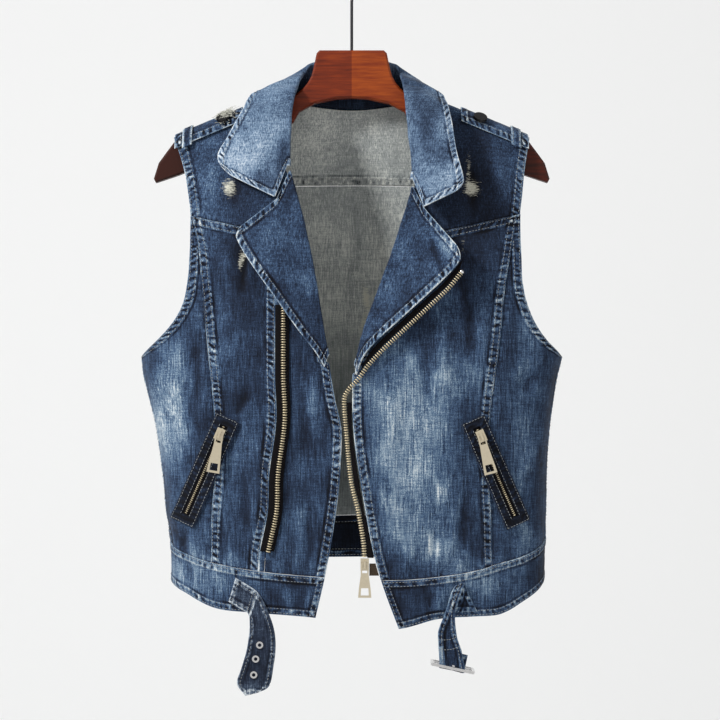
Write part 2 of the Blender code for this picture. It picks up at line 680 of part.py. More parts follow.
def ridge_point(x, across, out):
    """A point over the shoulder: across is millimetres from the ridge, negative in front."""
    quarter = ARM_ROOM * math.pi / 2
    part = np.abs(across)
    below = np.where(part < quarter, ARM_ROOM * (1 - np.cos(np.minimum(part, quarter) / ARM_ROOM)),
                     ARM_ROOM + part - quarter)
    z = shoulder(x) - below
    angle = angle_of(x, z)
    angle = np.where(across > 0, around(180 - angle), angle)
    place = skin(angle, z)
    sideways = np.sin(np.minimum(part, quarter) / ARM_ROOM) * np.sign(across)
    upward = np.cos(np.minimum(part, quarter) / ARM_ROOM)
    out = np.asarray(out, float)
    return place + np.stack([np.zeros_like(upward), sideways * out, upward * out], -1)


def epaulets():
    for key, side in SIDES.items():
        x = side * np.linspace(EPAULET_INNER, EPAULET_OUTER, 7)
        across = np.linspace(-EPAULET_HALF, EPAULET_HALF, 9)
        x_grid, across_grid = np.meshgrid(x, across, indexing="ij")
        low = CLOTH + FELL + EPAULET_LIFT
        faces = [ridge_point(x_grid, across_grid, low + k * CLOTH) for k in (0, 1)]
        block(f"epaulet_{key}", np.stack(faces, 2), "denim")
        button = ridge_point(np.array(side * BUTTON_AT), np.array(-9.0), np.array(low + CLOTH + 0.3))
        out = unit(np.array([0.25 * side, -0.75, 0.9]))
        disc(f"epaulet_button_{key}", button + out * 0.9, out, BUTTON_RADIUS, BUTTON_HEIGHT, "silver")


def disc(name, foot, out, radius, height, finish, hole=0.0, sides=16):
    """A round plate that stands on foot, with a hole if asked."""
    first = unit(np.cross(out, (0.0, 0.0, 1.0)))
    second = np.cross(out, first)
    turn = np.arange(sides) * 2 * math.pi / sides
    ring = np.cos(turn)[:, None] * first + np.sin(turn)[:, None] * second
    low, high = foot + ring * radius, foot + ring * (radius - 0.4) + out * height
    if not hole:
        points = np.concatenate([low, high])
        faces = [[i, (i + 1) % sides, (i + 1) % sides + sides, i + sides] for i in range(sides)]
        faces += [list(range(sides))[::-1], [i + sides for i in range(sides)]]
        return make_object(name, points, faces, finish)
    rings = [low, high, foot + ring * hole + out * height, foot + ring * hole]
    points = np.concatenate(rings)
    faces = []
    for k in range(4):
        for i in range(sides):
            j, after = (i + 1) % sides, (k + 1) % 4
            faces.append([i + k * sides, j + k * sides, j + after * sides, i + after * sides])
    return make_object(name, points, faces, finish)


def strip(name, first, second, low, high, finish):
    """A flat strip on the front between two lines in the front view; low and high are its distances out."""
    grid = np.stack([first, second])
    faces = [on_front(grid[..., 0], grid[..., 1], np.broadcast_to(off, grid.shape[:2])) for off in (low, high)]
    return block(name, np.stack(faces, 2), finish)


def bar_along(name, line, out, width, low, high, finish):
    """A bar along a line in the front view, with the distance out of the line's own rows added."""
    ahead = unit(np.gradient(line, axis=0))
    beside = np.stack([-ahead[:, 1], ahead[:, 0]], -1) * width / 2
    grid = np.stack([line - beside, line + beside])
    faces = [on_front(grid[..., 0], grid[..., 1], out[None] + off) for off in (low, high)]
    return block(name, np.stack(faces, 2), finish)


def main_zip():
    """Both halves of the main zip, with its slider, pull and end box. The right tape is in two lengths, since it
    turns over where the lapel leaves the front edge."""
    at = np.linspace(0, 1, len(ZIP_R["teeth_lift"]))
    t = np.linspace(0, 1, 27)
    edge_x, edge_z, edge_lift, teeth_x, teeth_z, lift = (curve(t, at, ZIP_R[k]) for k in ZIP_R)
    teeth = np.stack([teeth_x, teeth_z], -1)
    beside = unit(np.gradient(teeth, axis=0))[:, ::-1] * (1, -1) * (TEETH_WIDTH / 2 + 1.5 * GAP)
    edge = on_front(edge_x, edge_z, edge_lift)
    for name, part, way in (("zip_tape_r_top", t <= (at[5] + at[6]) / 2, 1), ("zip_tape_r", t >= at[8] - 1e-9, -1)):
        near = teeth[part] + beside[part] * way
        side = on_front(near[:, 0], near[:, 1], lift[part])
        start = edge[part] + unit(side - edge[part]) * 1.2 * GAP
        block(name, centre_wall(np.stack([start, side]), TAPE), "tape")
    bar_along("zip_teeth_r", teeth, lift, TEETH_WIDTH, -TEETH_HEIGHT / 2, TEETH_HEIGHT / 2, "brass")
    z = np.linspace(ZIP_L["height"][0], ZIP_L["height"][-1], 14)
    line = np.stack([curve(z, ZIP_L["height"], ZIP_L["x"]), z], -1)
    low = CLOTH + 2 * GAP
    off = np.array([low])
    strip("zip_tape_l", line + (-8.5, 0), line + (3.6, 0), off, off + TAPE, "tape")
    bar_along("zip_teeth_l", line, np.full(len(z), low + TAPE + GAP), TEETH_WIDTH, 0, TEETH_HEIGHT, "brass")
    x, z = SLIDER_AT
    face = float(on_front(np.array(x), np.array(z), np.array(0.0))[1])
    zip_slider("zip_slider", "zip_pull", (x, face - 2.5, z), 0.0, 0.0, long=34.0)
    ends = z + np.array([1.0, -11.0])
    beside = curve(ends, FRONT_R["height"], FRONT_R["x"]) - GAP
    grid = np.array([[(x + 4.6, face - 3.0, end) for end in ends],
                     [(edge, face - 3.0, end) for edge, end in zip(beside, ends)]])
    block("zip_box", np.stack([grid, grid + (0, 2.6, 0)], 2), "brass")


def turned_about(points, place, lean, slope):
    """Local points (across, out, up) put at a place, leaned in the front view and sloped back at the top."""
    points = np.asarray(points, float)
    across, out, up = points[..., 0], points[..., 1], points[..., 2]
    tip = math.radians(slope)
    back, up = -out * math.cos(tip) + up * math.sin(tip), up * math.cos(tip) + out * math.sin(tip)
    lean = math.radians(lean)
    x = across * math.cos(lean) + up * math.sin(lean)
    z = -across * math.sin(lean) + up * math.cos(lean)
    return np.stack([x, back, z], -1) + place


def grid_of(xs, ys, zs):
    return np.stack(np.meshgrid(xs, ys, zs, indexing="ij"), -1).astype(float)


def zip_slider(slider, pull, place, lean, pull_lean, long, slope=0.0):
    """A slider with its bridge, and a pull tab that hangs from the bridge and turns about its own top bar.
    place is the middle of the slider's outer face before the bridge."""
    xs, ys, zs = [-4.2, -1.0, 1.0, 4.2], [-2.2, 0.0, 3.4, 4.6], [-6.0, -3.8, -2.6, 2.6, 3.8, 6.0]
    full = np.zeros((3, 3, 5), bool)
    full[:, 0, :] = True
    full[1, 1, 1] = full[1, 1, 3] = True
    full[1, 2, 1:4] = True
    block(slider, turned_about(grid_of(xs, ys, zs), place, lean, slope), "nickel", full)
    pivot = turned_about((0.0, 1.7, 1.2), place, lean, slope)
    low = -long
    xs = [-4.0, -2.5, 2.5, 4.0]
    ys = [-0.55, 0.55]
    zs = [0.6, -0.6, -9.6, -11.5, low + 9.5, low + 2.2, low]
    grid = grid_of(xs, ys, zs)
    wide = np.interp(-grid[..., 2], [0, 11.5, -low - 9.5, -low], [1.0, 1.0, 1.45, 1.65])
    grid[..., 0] *= wide
    full = np.ones((3, 1, 6), bool)
    full[1, 0, 1] = False
    full[1, 0, 4] = False
    block(pull, turned_about(grid, pivot, pull_lean, slope), "nickel", full, origin=tuple(pivot))


def pockets():
    """Slanted welt pockets: a stitched frame, a zip in its slot, a slider and a pull."""
    for key, row in POCKETS.items():
        lean = math.radians(row["lean"])
        along = np.array([math.sin(lean), math.cos(lean)])
        beside = np.array([math.cos(lean), -math.sin(lean)])

        def place(p, q, out):
            spot = np.array(row["middle"]) + p[..., None] * along + q[..., None] * beside
            return on_front(spot[..., 0], spot[..., 1], out)

        ps = np.array([-WELT_HALF, -SLOT_HALF, -33, -16, 0, 16, 33, SLOT_HALF, WELT_HALF])
        qs = np.array([-WELT_WIDE, -SLOT_WIDE, SLOT_WIDE, WELT_WIDE])
        p_grid, q_grid = np.meshgrid(ps, qs, indexing="ij")
        low = CLOTH + WELT_LIFT + np.where(np.abs(q_grid) < WELT_WIDE, 0.8, 0.4)
        full = np.ones((len(ps) - 1, 3, 1), bool)
        full[1:-1, 1] = False
        faces = [place(p_grid, q_grid, low + k * CLOTH) for k in (0, 1)]
        block(f"pocket_welt_{key}", np.stack(faces, 2), "denim_dark", full)
        ps = np.linspace(-SLOT_HALF + GAP, SLOT_HALF - GAP, 8)
        qs = np.array([-SLOT_WIDE + GAP, -1.6, 1.6, SLOT_WIDE - GAP])
        p_grid, q_grid = np.meshgrid(ps, qs, indexing="ij")
        high = CLOTH + WELT_LIFT + np.where(np.abs(q_grid) < 2, 2.2, 1.2)
        faces = [place(p_grid, q_grid, off) for off in (np.full(p_grid.shape, CLOTH + WELT_LIFT + GAP), high)]
        block(f"pocket_zip_{key}", np.stack(faces, 2), "brass")
        top = place(np.array(SLOT_HALF - 9.0), np.array(0.0), np.array(CLOTH + 6.6))
        zip_slider(f"pocket_slider_{key}", f"pocket_pull_{key}", top, row["lean"], row["pull_lean"], long=40.0)


def ribbon(name, rows, finish, columns=3):
    """A strap, with a row of the table for each cross-section; below the hem it hangs straight down."""
    at = np.linspace(0, 1, len(rows["lift"]))
    t = np.linspace(0, 1, 2 * len(at) - 1)
    left_x, left_z, right_x, right_z, lift = (curve(t, at, rows[k]) for k in rows)
    share = np.linspace(0, 1, columns)[:, None]
    x, z = left_x + (right_x - left_x) * share, left_z + (right_z - left_z) * share
    held = np.maximum(z, -668)
    base = on_front(x, held, np.broadcast_to(lift, x.shape))
    middle = np.stack([x, base[..., 1], z], -1)
    return block(name, centre_wall(middle, STRAP_CLOTH), finish)


def straps():
    """The left strap with its eyelets, and the right one round the buckle's bar."""
    ribbon("strap_l", STRAP_L, "denim")
    for k, (x, z) in enumerate(EYELETS):
        t = (z + 694) / (-46)
        lift = curve(np.array(t), [0, 0.3, 0.67, 1.0], [7.5, 8, 7, 6])
        y = float(on_front(np.array(x), np.array(-668.0), lift)[1])
        foot = np.array([x, y - STRAP_CLOTH / 2 - GAP - 0.5, z])
        disc(f"eyelet_{k + 1}", foot, np.array([0.0, -1.0, 0.0]), EYELET_RADIUS, EYELET_HEIGHT, "silver",
             hole=EYELET_HOLE, sides=14)
    buckle_end()


def buckle_end():
    """The right strap with its loop round the bar, the buckle's frame and its prong."""
    tilt = math.radians(BUCKLE_TILT)
    axis = np.array([math.cos(tilt), 0.0, math.sin(tilt)])
    up = np.array([-math.sin(tilt), 0.0, math.cos(tilt)])
    out = np.array([0.0, -1.0, 0.0])
    rows = STRAP_R
    at = np.linspace(0, 1, len(rows["lift"]))
    t = np.linspace(0, 1, 2 * len(at) - 1)
    left_x, left_z, right_x, right_z, lift = (curve(t, at, rows[k]) for k in rows)
    columns = np.array([0, 0.5 - PRONG_GAP / LOOP_HALF / 2, 0.5 + PRONG_GAP / LOOP_HALF / 2, 1.0])[:, None]
    x, z = left_x + (right_x - left_x) * columns, left_z + (right_z - left_z) * columns
    base = on_front(x, np.maximum(z, -668), np.broadcast_to(lift, x.shape))
    hanging = np.stack([x, base[..., 1], z], -1)
    slot_rise = (z[1:3, -1] - BUCKLE_MIDDLE[1]) / up[2]
    hanging[1:3, -1, 0] = BUCKLE_MIDDLE[0] + slot_rise * up[0] + np.array([-PRONG_GAP, PRONG_GAP])
    bar_y = float(base[0, -1, 1]) + LOOP_RADIUS
    middle = np.array([BUCKLE_MIDDLE[0], bar_y, BUCKLE_MIDDLE[1]])
    reach = (columns - 0.5) * 2 * LOOP_HALF
    arcs = np.radians(np.linspace(0, 180, 7))
    loop = [middle + axis * reach + out * LOOP_RADIUS * math.cos(a) - up * LOOP_RADIUS * math.sin(a) for a in arcs]
    rise = [middle + axis * reach - out * LOOP_RADIUS + up * h for h in (6.0, 14.0)]
    grid = np.concatenate([hanging, np.stack(loop, 1), np.stack(rise, 1)], 1)
    full = np.ones((3, grid.shape[1] - 1, 1), bool)
    first = hanging.shape[1]
    full[1, first - 1:first + 7] = False
    block("strap_r", centre_wall(grid, STRAP_CLOTH), "denim", full)

    def put(points):
        points = np.asarray(points, float)
        return middle + points[..., :1] * axis + points[..., 1:2] * out + points[..., 2:3] * up

    half, bar = BUCKLE_WIDE / 2, BUCKLE_BAR / 2
    xs = [-half, -half + BUCKLE_BAR, half - BUCKLE_BAR, half]
    ends = BUCKLE_LONG / 2
    ys = [-ends, -ends + BUCKLE_BAR, -bar, bar, ends - BUCKLE_BAR, ends]
    full = np.ones((3, 5, 1), bool)
    full[1, 1] = full[1, 3] = False
    grid = grid_of(xs, ys, [-bar, bar])
    corner = (np.abs(grid[..., 0]) > half - 1) & (np.abs(grid[..., 1]) > ends - 1)
    grid[..., 0] *= np.where(corner, 0.94, 1)
    block("buckle_frame", put(grid), "silver", full, origin=tuple(middle))
    clear, thick = bar * math.sqrt(2) + 0.35, 1.1
    tip = ends + 0.6
    points = grid_of([-1.2, 1.2], [-clear - thick, -clear, clear, ends - BUCKLE_BAR - 0.8, tip],
                     [-clear - thick, -clear, clear - 0.3, clear + thick])
    full = np.zeros((1, 4, 3), bool)
    full[0, 0, :] = True
    full[0, :, 2] = True
    full[0, 0:2, 0] = True
    block("buckle_prong", put(points), "silver", full, origin=tuple(middle))


def hanger():
    """The wooden hanger, flat and shaped in its outline, and its wire hook."""
    arm_x, tip_x = 76.0, 181.0
    top, arm, tip = WOOD_TOP, (arm_x, shoulder(arm_x) - ARM_BELOW), (tip_x, shoulder(tip_x) - ARM_BELOW)
    half = [(0, top), (33, top), (36, top - 3), (39.5, -119)]
    half += [(41.5, -126), (45, -132.5), (50, -138.5), (57, -144), arm, tip]
    half += [(190, -204), (198, -215), (203, -231), (201, -235), (177, -227), (118, -200), (60, -173)]
    half += [(60 * math.cos(a), -173 + 25 * math.sin(a)) for a in np.radians((25, 50, 75))]
    half += [(0, -148)]
    outline = half + [(-x, z) for x, z in half[-2:0:-1]]
    points, count = [], len(outline)
    inward = inset(outline, WOOD_EDGE)
    for y, ring in ((-WOOD_HALF, inward), (-WOOD_HALF + WOOD_EDGE, outline), (WOOD_HALF - WOOD_EDGE, outline),
                    (WOOD_HALF, inward)):
        points += [(x, y, z) for x, z in ring]
    faces = []
    for k in range(3):
        for i in range(count):
            j = (i + 1) % count
            faces.append([i + k * count, j + k * count, j + (k + 1) * count, i + (k + 1) * count])
    middle = len(half) - 1
    for k, flip in ((0, True), (3, False)):
        right = [i + k * count for i in range(middle + 1)]
        left = [right[0]] + [i + k * count for i in range(count - 1, middle - 1, -1)]
        for ring, turn in ((right, flip), (left, not flip)):
            faces.append(ring[::-1] if turn else ring)
    make_object("hanger_wood", points, faces, "wood")
    wire()


def inset(outline, by):
    """A closed outline moved inwards."""
    ring = np.array(outline, float)
    before, after = ring - np.roll(ring, 1, 0), np.roll(ring, -1, 0) - ring
    side = unit(np.stack([before[:, 1], -before[:, 0]], -1)) + unit(np.stack([after[:, 1], -after[:, 0]], -1))
    return [tuple(p) for p in ring + unit(side) * by]


def wire():
    """The hook: a straight stem that bends out into an open crook, in a round wire."""
    reach = CROOK_RADIUS + WIRE_RADIUS
    middle_z = -CROOK_RADIUS
    line = [(0.0, 0.0, WOOD_TOP + GAP), (0.0, 0.0, STEM_TOP)]
    first = math.radians(CROOK_START)
    end_x, end_z = reach * math.cos(first), middle_z + reach * math.sin(first)
    for k in range(1, 6):
        line.append((end_x * (k / 6) ** 2, 0.0, STEM_TOP + (end_z - STEM_TOP) * k / 6))
    for k in range(17):
        a = math.radians(CROOK_START + (CROOK_END - CROOK_START) * k / 16)
        line.append((reach * math.cos(a), 0.0, middle_z + reach * math.sin(a)))
    data = bpy.data.curves.new("hanger_hook", "CURVE")
    data.dimensions = "3D"
    data.bevel_depth = WIRE_RADIUS * MM
    data.bevel_resolution = 2
    data.use_fill_caps = True
    spline = data.splines.new("POLY")
    spline.points.add(len(line) - 1)
    for point, place in zip(spline.points, line):
        point.co = (*(k * MM for k in place), 1)
    data.materials.append(material("hanger_hook", *FINISHES["wire"]))
    made = bpy.data.objects.new("hanger_hook", data)
    bpy.context.collection.objects.link(made)


def clear_scene():
    for found in list(bpy.data.objects):
        bpy.data.objects.remove(found, do_unlink=True)


clear_scene()
fronts_and_back()
yokes()
waistbands()
lapels()
collar()
epaulets()
main_zip()
pockets()
straps()
hanger()
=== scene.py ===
"""The looks of a sleeveless denim jacket that hangs open on a wooden hanger.

Lengths are millimetres until a mesh is made. +X is the viewer's right, the front faces -Y and +Z is up.
The cloth follows the same skin as the solids: a ring at each height, named by an angle that is 0 at the
middle of the front, 90 at the viewer's right side and 180 at the middle of the back.
"""
import math

import bpy
import numpy as np
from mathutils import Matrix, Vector


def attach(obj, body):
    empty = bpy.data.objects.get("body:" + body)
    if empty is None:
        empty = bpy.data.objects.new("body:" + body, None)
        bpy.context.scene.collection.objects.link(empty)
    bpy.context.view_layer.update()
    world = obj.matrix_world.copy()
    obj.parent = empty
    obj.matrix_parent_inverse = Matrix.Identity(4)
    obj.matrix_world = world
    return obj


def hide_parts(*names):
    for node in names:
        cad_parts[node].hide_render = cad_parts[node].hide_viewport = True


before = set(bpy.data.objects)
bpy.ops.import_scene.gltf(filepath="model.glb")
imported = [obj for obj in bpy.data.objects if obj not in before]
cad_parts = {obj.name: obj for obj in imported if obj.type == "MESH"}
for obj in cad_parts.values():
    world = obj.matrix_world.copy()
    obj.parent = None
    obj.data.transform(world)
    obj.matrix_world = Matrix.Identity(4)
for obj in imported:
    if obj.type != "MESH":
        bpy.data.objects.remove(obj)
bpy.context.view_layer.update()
MM = 0.001
BODY = "vest"
GAP = 0.3            # between two pieces that meet
CLOTH = 1.6          # denim with its turned edges
FELL = 0.7           # how far a felled seam stands proud
ARM_ROOM = 9.0       # from the hanger's middle plane to the cloth over its arms
RING_POWER = 2.3     # 2 is an ellipse, more is squarer
SHOULDER_TIP = (182.0, -190.0)
SHOULDER_SLOPE = 0.414
CHEST_DEPTH_RISE = 110.0
UNDERARM = -414.0
ABOVE_UNDERARM = 0.999   # the level just above the armhole's lowest place
SETTLE_STEPS = 12    # rounds until an angle and a height that depend on each other agree
# The yoke seam in front: its height at a distance from the middle, and its slope
YOKE_FRONT, YOKE_OUT, YOKE_SLOPE = -270.5, 166.0, 0.235
# And behind: its height in the middle, and how far it falls at a distance from there
YOKE_BACK, YOKE_FALL, YOKE_SIDE = -235.0, 9.0, 170.0
HANG_BELOW = -668.0  # under this height a strap hangs straight down
SIDES = {"l": -1, "r": 1}


def table(names, *rows):
    """Named columns from rows of numbers."""
    return dict(zip(names.split(), np.array(rows, float).T))


def curve(at, xs, ys):
    """A smooth curve through (xs, ys), read at each value of at; past its ends it stays level."""
    xs, ys = np.asarray(xs, float), np.asarray(ys, float)
    if xs[0] > xs[-1]:
        xs, ys = xs[::-1], ys[::-1]
    step = np.diff(xs)
    slope = np.diff(ys) / step
    inner = (slope[:-1] * step[1:] + slope[1:] * step[:-1]) / (step[1:] + step[:-1])
    inner = np.where(slope[:-1] * slope[1:] <= 0, 0, inner)
    tangent = np.concatenate([slope[:1], inner, slope[-1:]])
    at = np.clip(at, xs[0], xs[-1])
    i = np.clip(np.searchsorted(xs, at, side="right") - 1, 0, len(step) - 1)
    t = (at - xs[i]) / step[i]
    rise = (2 * t**3 - 3 * t**2 + 1) * ys[i] + (3 * t**2 - 2 * t**3) * ys[i + 1]
    return rise + step[i] * ((t**3 - 2 * t**2 + t) * tangent[i] + (t**3 - t**2) * tangent[i + 1])


def read_rows(rows, t):
    """Every column of a table, read at shares t of its length."""
    at = np.linspace(0, 1, len(next(iter(rows.values()))))
    return [curve(t, at, column) for column in rows.values()]


def smooth(t):
    """0 to 1 with level ends."""
    t = np.clip(t, 0, 1)
    return t * t * (3 - 2 * t)


def hill(x, half):
    """1 where x is 0, falling away softly on both sides."""
    return np.exp(-((x / half) ** 2))


def at_height(rows, column, z):
    """A column of a table that has a height column, read at heights z."""
    return curve(z, rows["height"], rows[column])


# Half width, sideways shift, and depth in front and behind, at each height
RING = table(
    "height half shift front back",
    (-180, 218, 0, 60, 46),
    (-350, 217, 0, 61, 47),
    (-414, 214, 0, 62, 48),
    (-431, 211, -1, 62, 48),
    (-470, 203, 0.5, 61, 47),
    (-505, 198, 2, 60, 46),
    (-538, 195, 3.3, 60, 46),
    (-571, 193, 4.5, 59, 45),
    (-605, 190.5, 6.5, 58, 44),
    (-640, 189.5, 6.3, 57, 43),
    (-690, 189, 6.3, 57, 43),
)
# The largest soft folds: ridges have a positive rise, troughs a negative one
FOLDS = table(
    "angle top bottom lean half rise",
    (-36, -330, -430, 2, 5, -4.0),
    (-50, -370, -470, -4, 5, -3.5),
    (-24, -440, -610, 2, 6, 2.5),
    (-13, -480, -620, -2, 4, -2.0),
    (26, -420, -600, 3, 8, 3.0),
    (52, -370, -470, 5, 5, -3.5),
    (40, -560, -625, -3, 5, -2.5),
    (68, -470, -600, 3, 6, 2.5),
    (-72, -460, -590, -3, 6, 2.5),
    (150, -430, -600, 3, 8, 3.0),
    (-140, -400, -590, -4, 9, 3.5),
    (-168, -470, -600, 2, 6, -2.5),
    (118, -400, -560, 3, 7, -3.0),
)
# Height of the waistband's two edges round the ring
BAND = table(
    "angle top bottom",
    (-180, -580, -624),
    (-135, -584, -627),
    (-90, -602, -641),
    (-65, -612, -652),
    (-45, -622, -667),
    (-30, -628, -670),
    (-8, -634, -675.5),
    (8, -637, -686),
    (22, -634, -676),
    (36, -628, -674),
    (45, -622, -673),
    (60, -614, -660),
    (90, -597, -638),
    (135, -583, -627),
    (180, -580, -624),
)
# Distance of each armhole edge from the middle, at each height
ARMHOLE = table(
    "height left right",
    (-190, 182, 182),
    (-215, 173, 177.5),
    (-250, 165.5, 173),
    (-276, 162.8, 170.5),
    (-314, 163.4, 171.3),
    (-336, 165, 172),
    (-361, 170, 177),
    (-380, 180.5, 185),
    (-397, 196, 197),
    (-408, 208, 208),
    (-414, 214, 214),
)
# Where each front seam runs, at each height: x of the line in the front view
PRINCESS_L = table("height x", (-276, -160.5), (-300, -155), (-337, -151), (-400, -145), (-464, -138),
                   (-530, -137), (-570, -140), (-630, -141))
PRINCESS_R = table("height x", (-270, 167), (-300, 162), (-337, 155.5), (-400, 148.5), (-470, 139),
                   (-540, 138), (-580, 140), (-635, 141))
ZIP_SEAM_L = table("height x", (-270, -72), (-371, -70.5), (-431, -70.5), (-469, -69), (-535, -76.5),
                   (-567, -77.5), (-608, -85.5), (-640, -88))
# The inner edge of each front: neck seam, then the roll line, then the front edge
FRONT_L = table("height x", (-143.6, -70), (-165, -69), (-190, -68), (-212, -66), (-226, -63), (-248, -55),
                (-285, -46), (-337, -35.5), (-390, -26), (-431, -20.5), (-454, -16.5), (-491, -9.5),
                (-520, -10.5), (-557, -13.5), (-591, -18.5), (-635, -26.5), (-676, -36))
FRONT_R = table("height x", (-143.6, 70), (-165, 69), (-190, 67.5), (-215, 65), (-240, 61), (-256, 57),
                (-307, 41.6), (-340, 29.5), (-360, 21), (-400, 8.5), (-430, 1), (-454, 0.5), (-492, 2),
                (-537, 8.5), (-567, 13.5), (-613, 22.5), (-638, 29.5), (-686, 47))
NECK_BACK = table("x height", (-70, -143.6), (-52, -152), (-27, -156.5), (0, -158), (27, -156.5), (52, -152),
                  (70, -143.6))
# Lapels: the roll line, the outer edge beside it, and how far that edge stands off
LAPEL_L = table(
    "roll_x roll_z edge_x edge_z lift",
    (-62, -227, -116.5, -290, 6),
    (-57, -243, -109, -306, 7),
    (-50, -268, -97, -325, 7),
    (-42, -303, -77, -353, 8),
    (-34, -346, -53, -387, 6),
    (-27.5, -385, -36, -409, 4),
    (-23, -412, -27, -424, 2),
)
LAPEL_R = table(
    "roll_x roll_z edge_x edge_z lift",
    (61, -243, 107.5, -315, 24),
    (53, -270, 97, -331, 22),
    (43, -302, 74, -353.5, 17),
    (31, -336, 49, -376.5, 12),
    (18.5, -368, 26.5, -397, 8),
    (9.5, -396, 12, -413.5, 5),
    (3.5, -422, 5, -432, 2),
)
FRONTS = {"l": FRONT_L, "r": FRONT_R}
LAPELS = {"l": LAPEL_L, "r": LAPEL_R}
# Corners of the notch between a lapel and the collar
NOTCH = {"l": (-74.5, -256.5), "r": (72.5, -267.5)}
COLLAR_NOTCH = {"l": (-74.0, -254.0), "r": (71.5, -264.5)}
FOLD_RADIUS = 1.8    # of the middle of the cloth, where a lapel or the collar turns over
FOLD_ARCS = np.linspace(-90, 90, 13)   # angles round that turn
ROLL_ROOM = 2.6      # from a roll line to the edge of the front that the lapel turns over from
# The collar from its left front end round the neck to its right front end. turn is the way that it faces, and
# side is -1 in front of the hanger and 1 behind it. Each lift is the distance off the skin.
COLLAR = table(
    "turn side neck_x neck_z neck_lift fold_x fold_z fold_lift edge_x edge_z edge_lift",
    (-8, -1, -61.5, -221, 1.2, -62.5, -221, 5.4, -135.5, -224, 10),
    (-15, -1, -64, -208, 1.2, -62.5, -205, 6.5, -135.5, -210, 10),
    (-30, -1, -66, -187, 1.2, -62, -184, 10, -127, -192, 10),
    (-50, -1, -67, -164, 1.2, -60.5, -160, 13, -115, -169, 11),
    (-75, -1, -67.5, -144, 1.2, -55, -134, 9, -102, -145, 9),
    (-110, 1, -67.5, -144, 1.2, -47, -117, 8, -95, -148, 12),
    (-140, 1, -52, -150.3, 1.2, -40, -110, 14, -74, -168, 11),
    (-165, 1, -27, -154.8, 1.2, -22, -108, 18, -40, -178, 10),
    (-180, 1, 0, -156.3, 1.2, 0, -107.5, 20, 0, -181, 10),
    (-195, 1, 27, -154.8, 1.2, 22, -108, 18, 40, -178, 10),
    (-220, 1, 52, -150.3, 1.2, 40, -110, 14, 74, -166, 11),
    (-250, 1, 67.5, -144, 1.2, 48, -117, 8, 88, -146, 13),
    (-285, -1, 67.5, -144, 1.2, 53, -136, 9, 95, -150, 18),
    (-310, -1, 67, -166, 1.2, 55.5, -164, 12, 101, -176, 26),
    (-330, -1, 65.5, -194, 1.2, 58, -190, 9, 105, -206, 33),
    (-345, -1, 62, -222, 1.2, 60.5, -218, 6.5, 111, -230, 34),
    (-352, -1, 58.5, -235, 1.2, 60.5, -235, 5.4, 113, -245, 34),
)
# Epaulets lie along the shoulder line, under the collar at one end
EPAULET_INNER, EPAULET_OUTER, EPAULET_HALF = 112.0, 181.0, 17.0   # both ends' x, and half the width
EPAULET_LIFT, EPAULET_THICK = 0.5, 1.2
EPAULET_LOOP = (163.0, 173.0)   # both edges of the narrow loop over each
# Main zip: the right tape from the lapel's tip down the front edge to the slider
ZIP_R = table(
    "edge_x edge_z edge_lift teeth_x teeth_z teeth_lift",
    (107.5, -319, 24, 105.5, -333, 24),
    (92, -339, 21, 94, -347.5, 21),
    (74, -356, 17, 78, -363, 17),
    (50, -378, 12, 54, -385.5, 12),
    (27.5, -399, 8, 31.5, -406.5, 8),
    (14, -416, 6, 17, -422, 5.5),
    (7.5, -433.5, 4.5, 5.5, -437.5, 4.6),
    (0.8, -448, 0, -3.2, -447, 4.4),
    (0.5, -459, 0, -7.3, -459, 1.2),
    (1.4, -492, 0, -5, -492, 0),
    (7.8, -537, 0, -0.5, -537, 0),
    (12.8, -567, 0, 6.5, -567, 0),
    (19, -597, 0, 11.7, -597, 0),
    (22.6, -614.6, 0, 13, -614.6, 0),
)
ZIP_L = table("height x", (-362, -67.5), (-431, -67.5), (-469, -66), (-535, -73.5), (-567, -74.5),
              (-608, -82.5))
TAPE, TEETH_WIDTH, TEETH_HEIGHT = 0.9, 4.6, 2.4
TEETH_PITCH, POCKET_PITCH = 2.6, 2.1
LEFT_TAPE = (-8.5, 5.6)   # both edges of the left tape, from its teeth
# Pockets: the middle of the zip and its lean from upright
POCKETS = {
    "l": {"middle": (-146.0, -527.5), "lean": 23.5},
    "r": {"middle": (143.5, -529.5), "lean": -23.5},
}
WELT_HALF, WELT_WIDE, SLOT_HALF, SLOT_WIDE = 58.0, 13.0, 49.0, 3.6
WELT_LIFT = 0.8
# Straps, a row for each cross-section: one edge, the other edge, and the distance off the skin
STRAP_L = table(
    "left_x left_z right_x right_z lift",
    (-123, -659, -116, -635, 3.6),
    (-111, -666, -104, -642, 3.8),
    (-103, -671, -93, -650, 4.4),
    (-101.5, -682, -85, -664, 6),
    (-102.5, -694, -77.5, -684, 7.5),
    (-105, -708, -75.5, -702, 8),
    (-110, -725, -77.5, -721, 7),
    (-114.5, -740, -82, -742, 6),
    (-106, -752.5, -93, -749, 6),
)
STRAP_R = table(
    "left_x left_z right_x right_z lift",
    (102, -669, 126, -669, 3.6),
    (106, -657, 120, -657, 3.6),
    (108, -647, 115, -646, 3.9),
    (104.5, -642.5, 113, -640.5, 6.2),
    (99.5, -649, 110, -648, 8.6),
    (93.5, -668, 103, -670, 10),
    (86, -690, 105, -692, 10.5),
    (86.5, -703, 109.5, -706, 10.5),
)
# Buckle: the bar's middle and its tilt
BUCKLE_MIDDLE = (100.5, -722.5)
BUCKLE_TILT = -12.0
LOOP_HALF, LOOP_RADIUS = 13.0, 3.3   # of the strap's turn round the bar: half its width, and its bend
LOOP_RISE = np.arange(2.0, 14.5, 2.0)   # heights of the end that is turned up behind the bar


def shoulder(x):
    """Height of the shoulder line."""
    return SHOULDER_TIP[1] + SHOULDER_SLOPE * (SHOULDER_TIP[0] - np.abs(x))


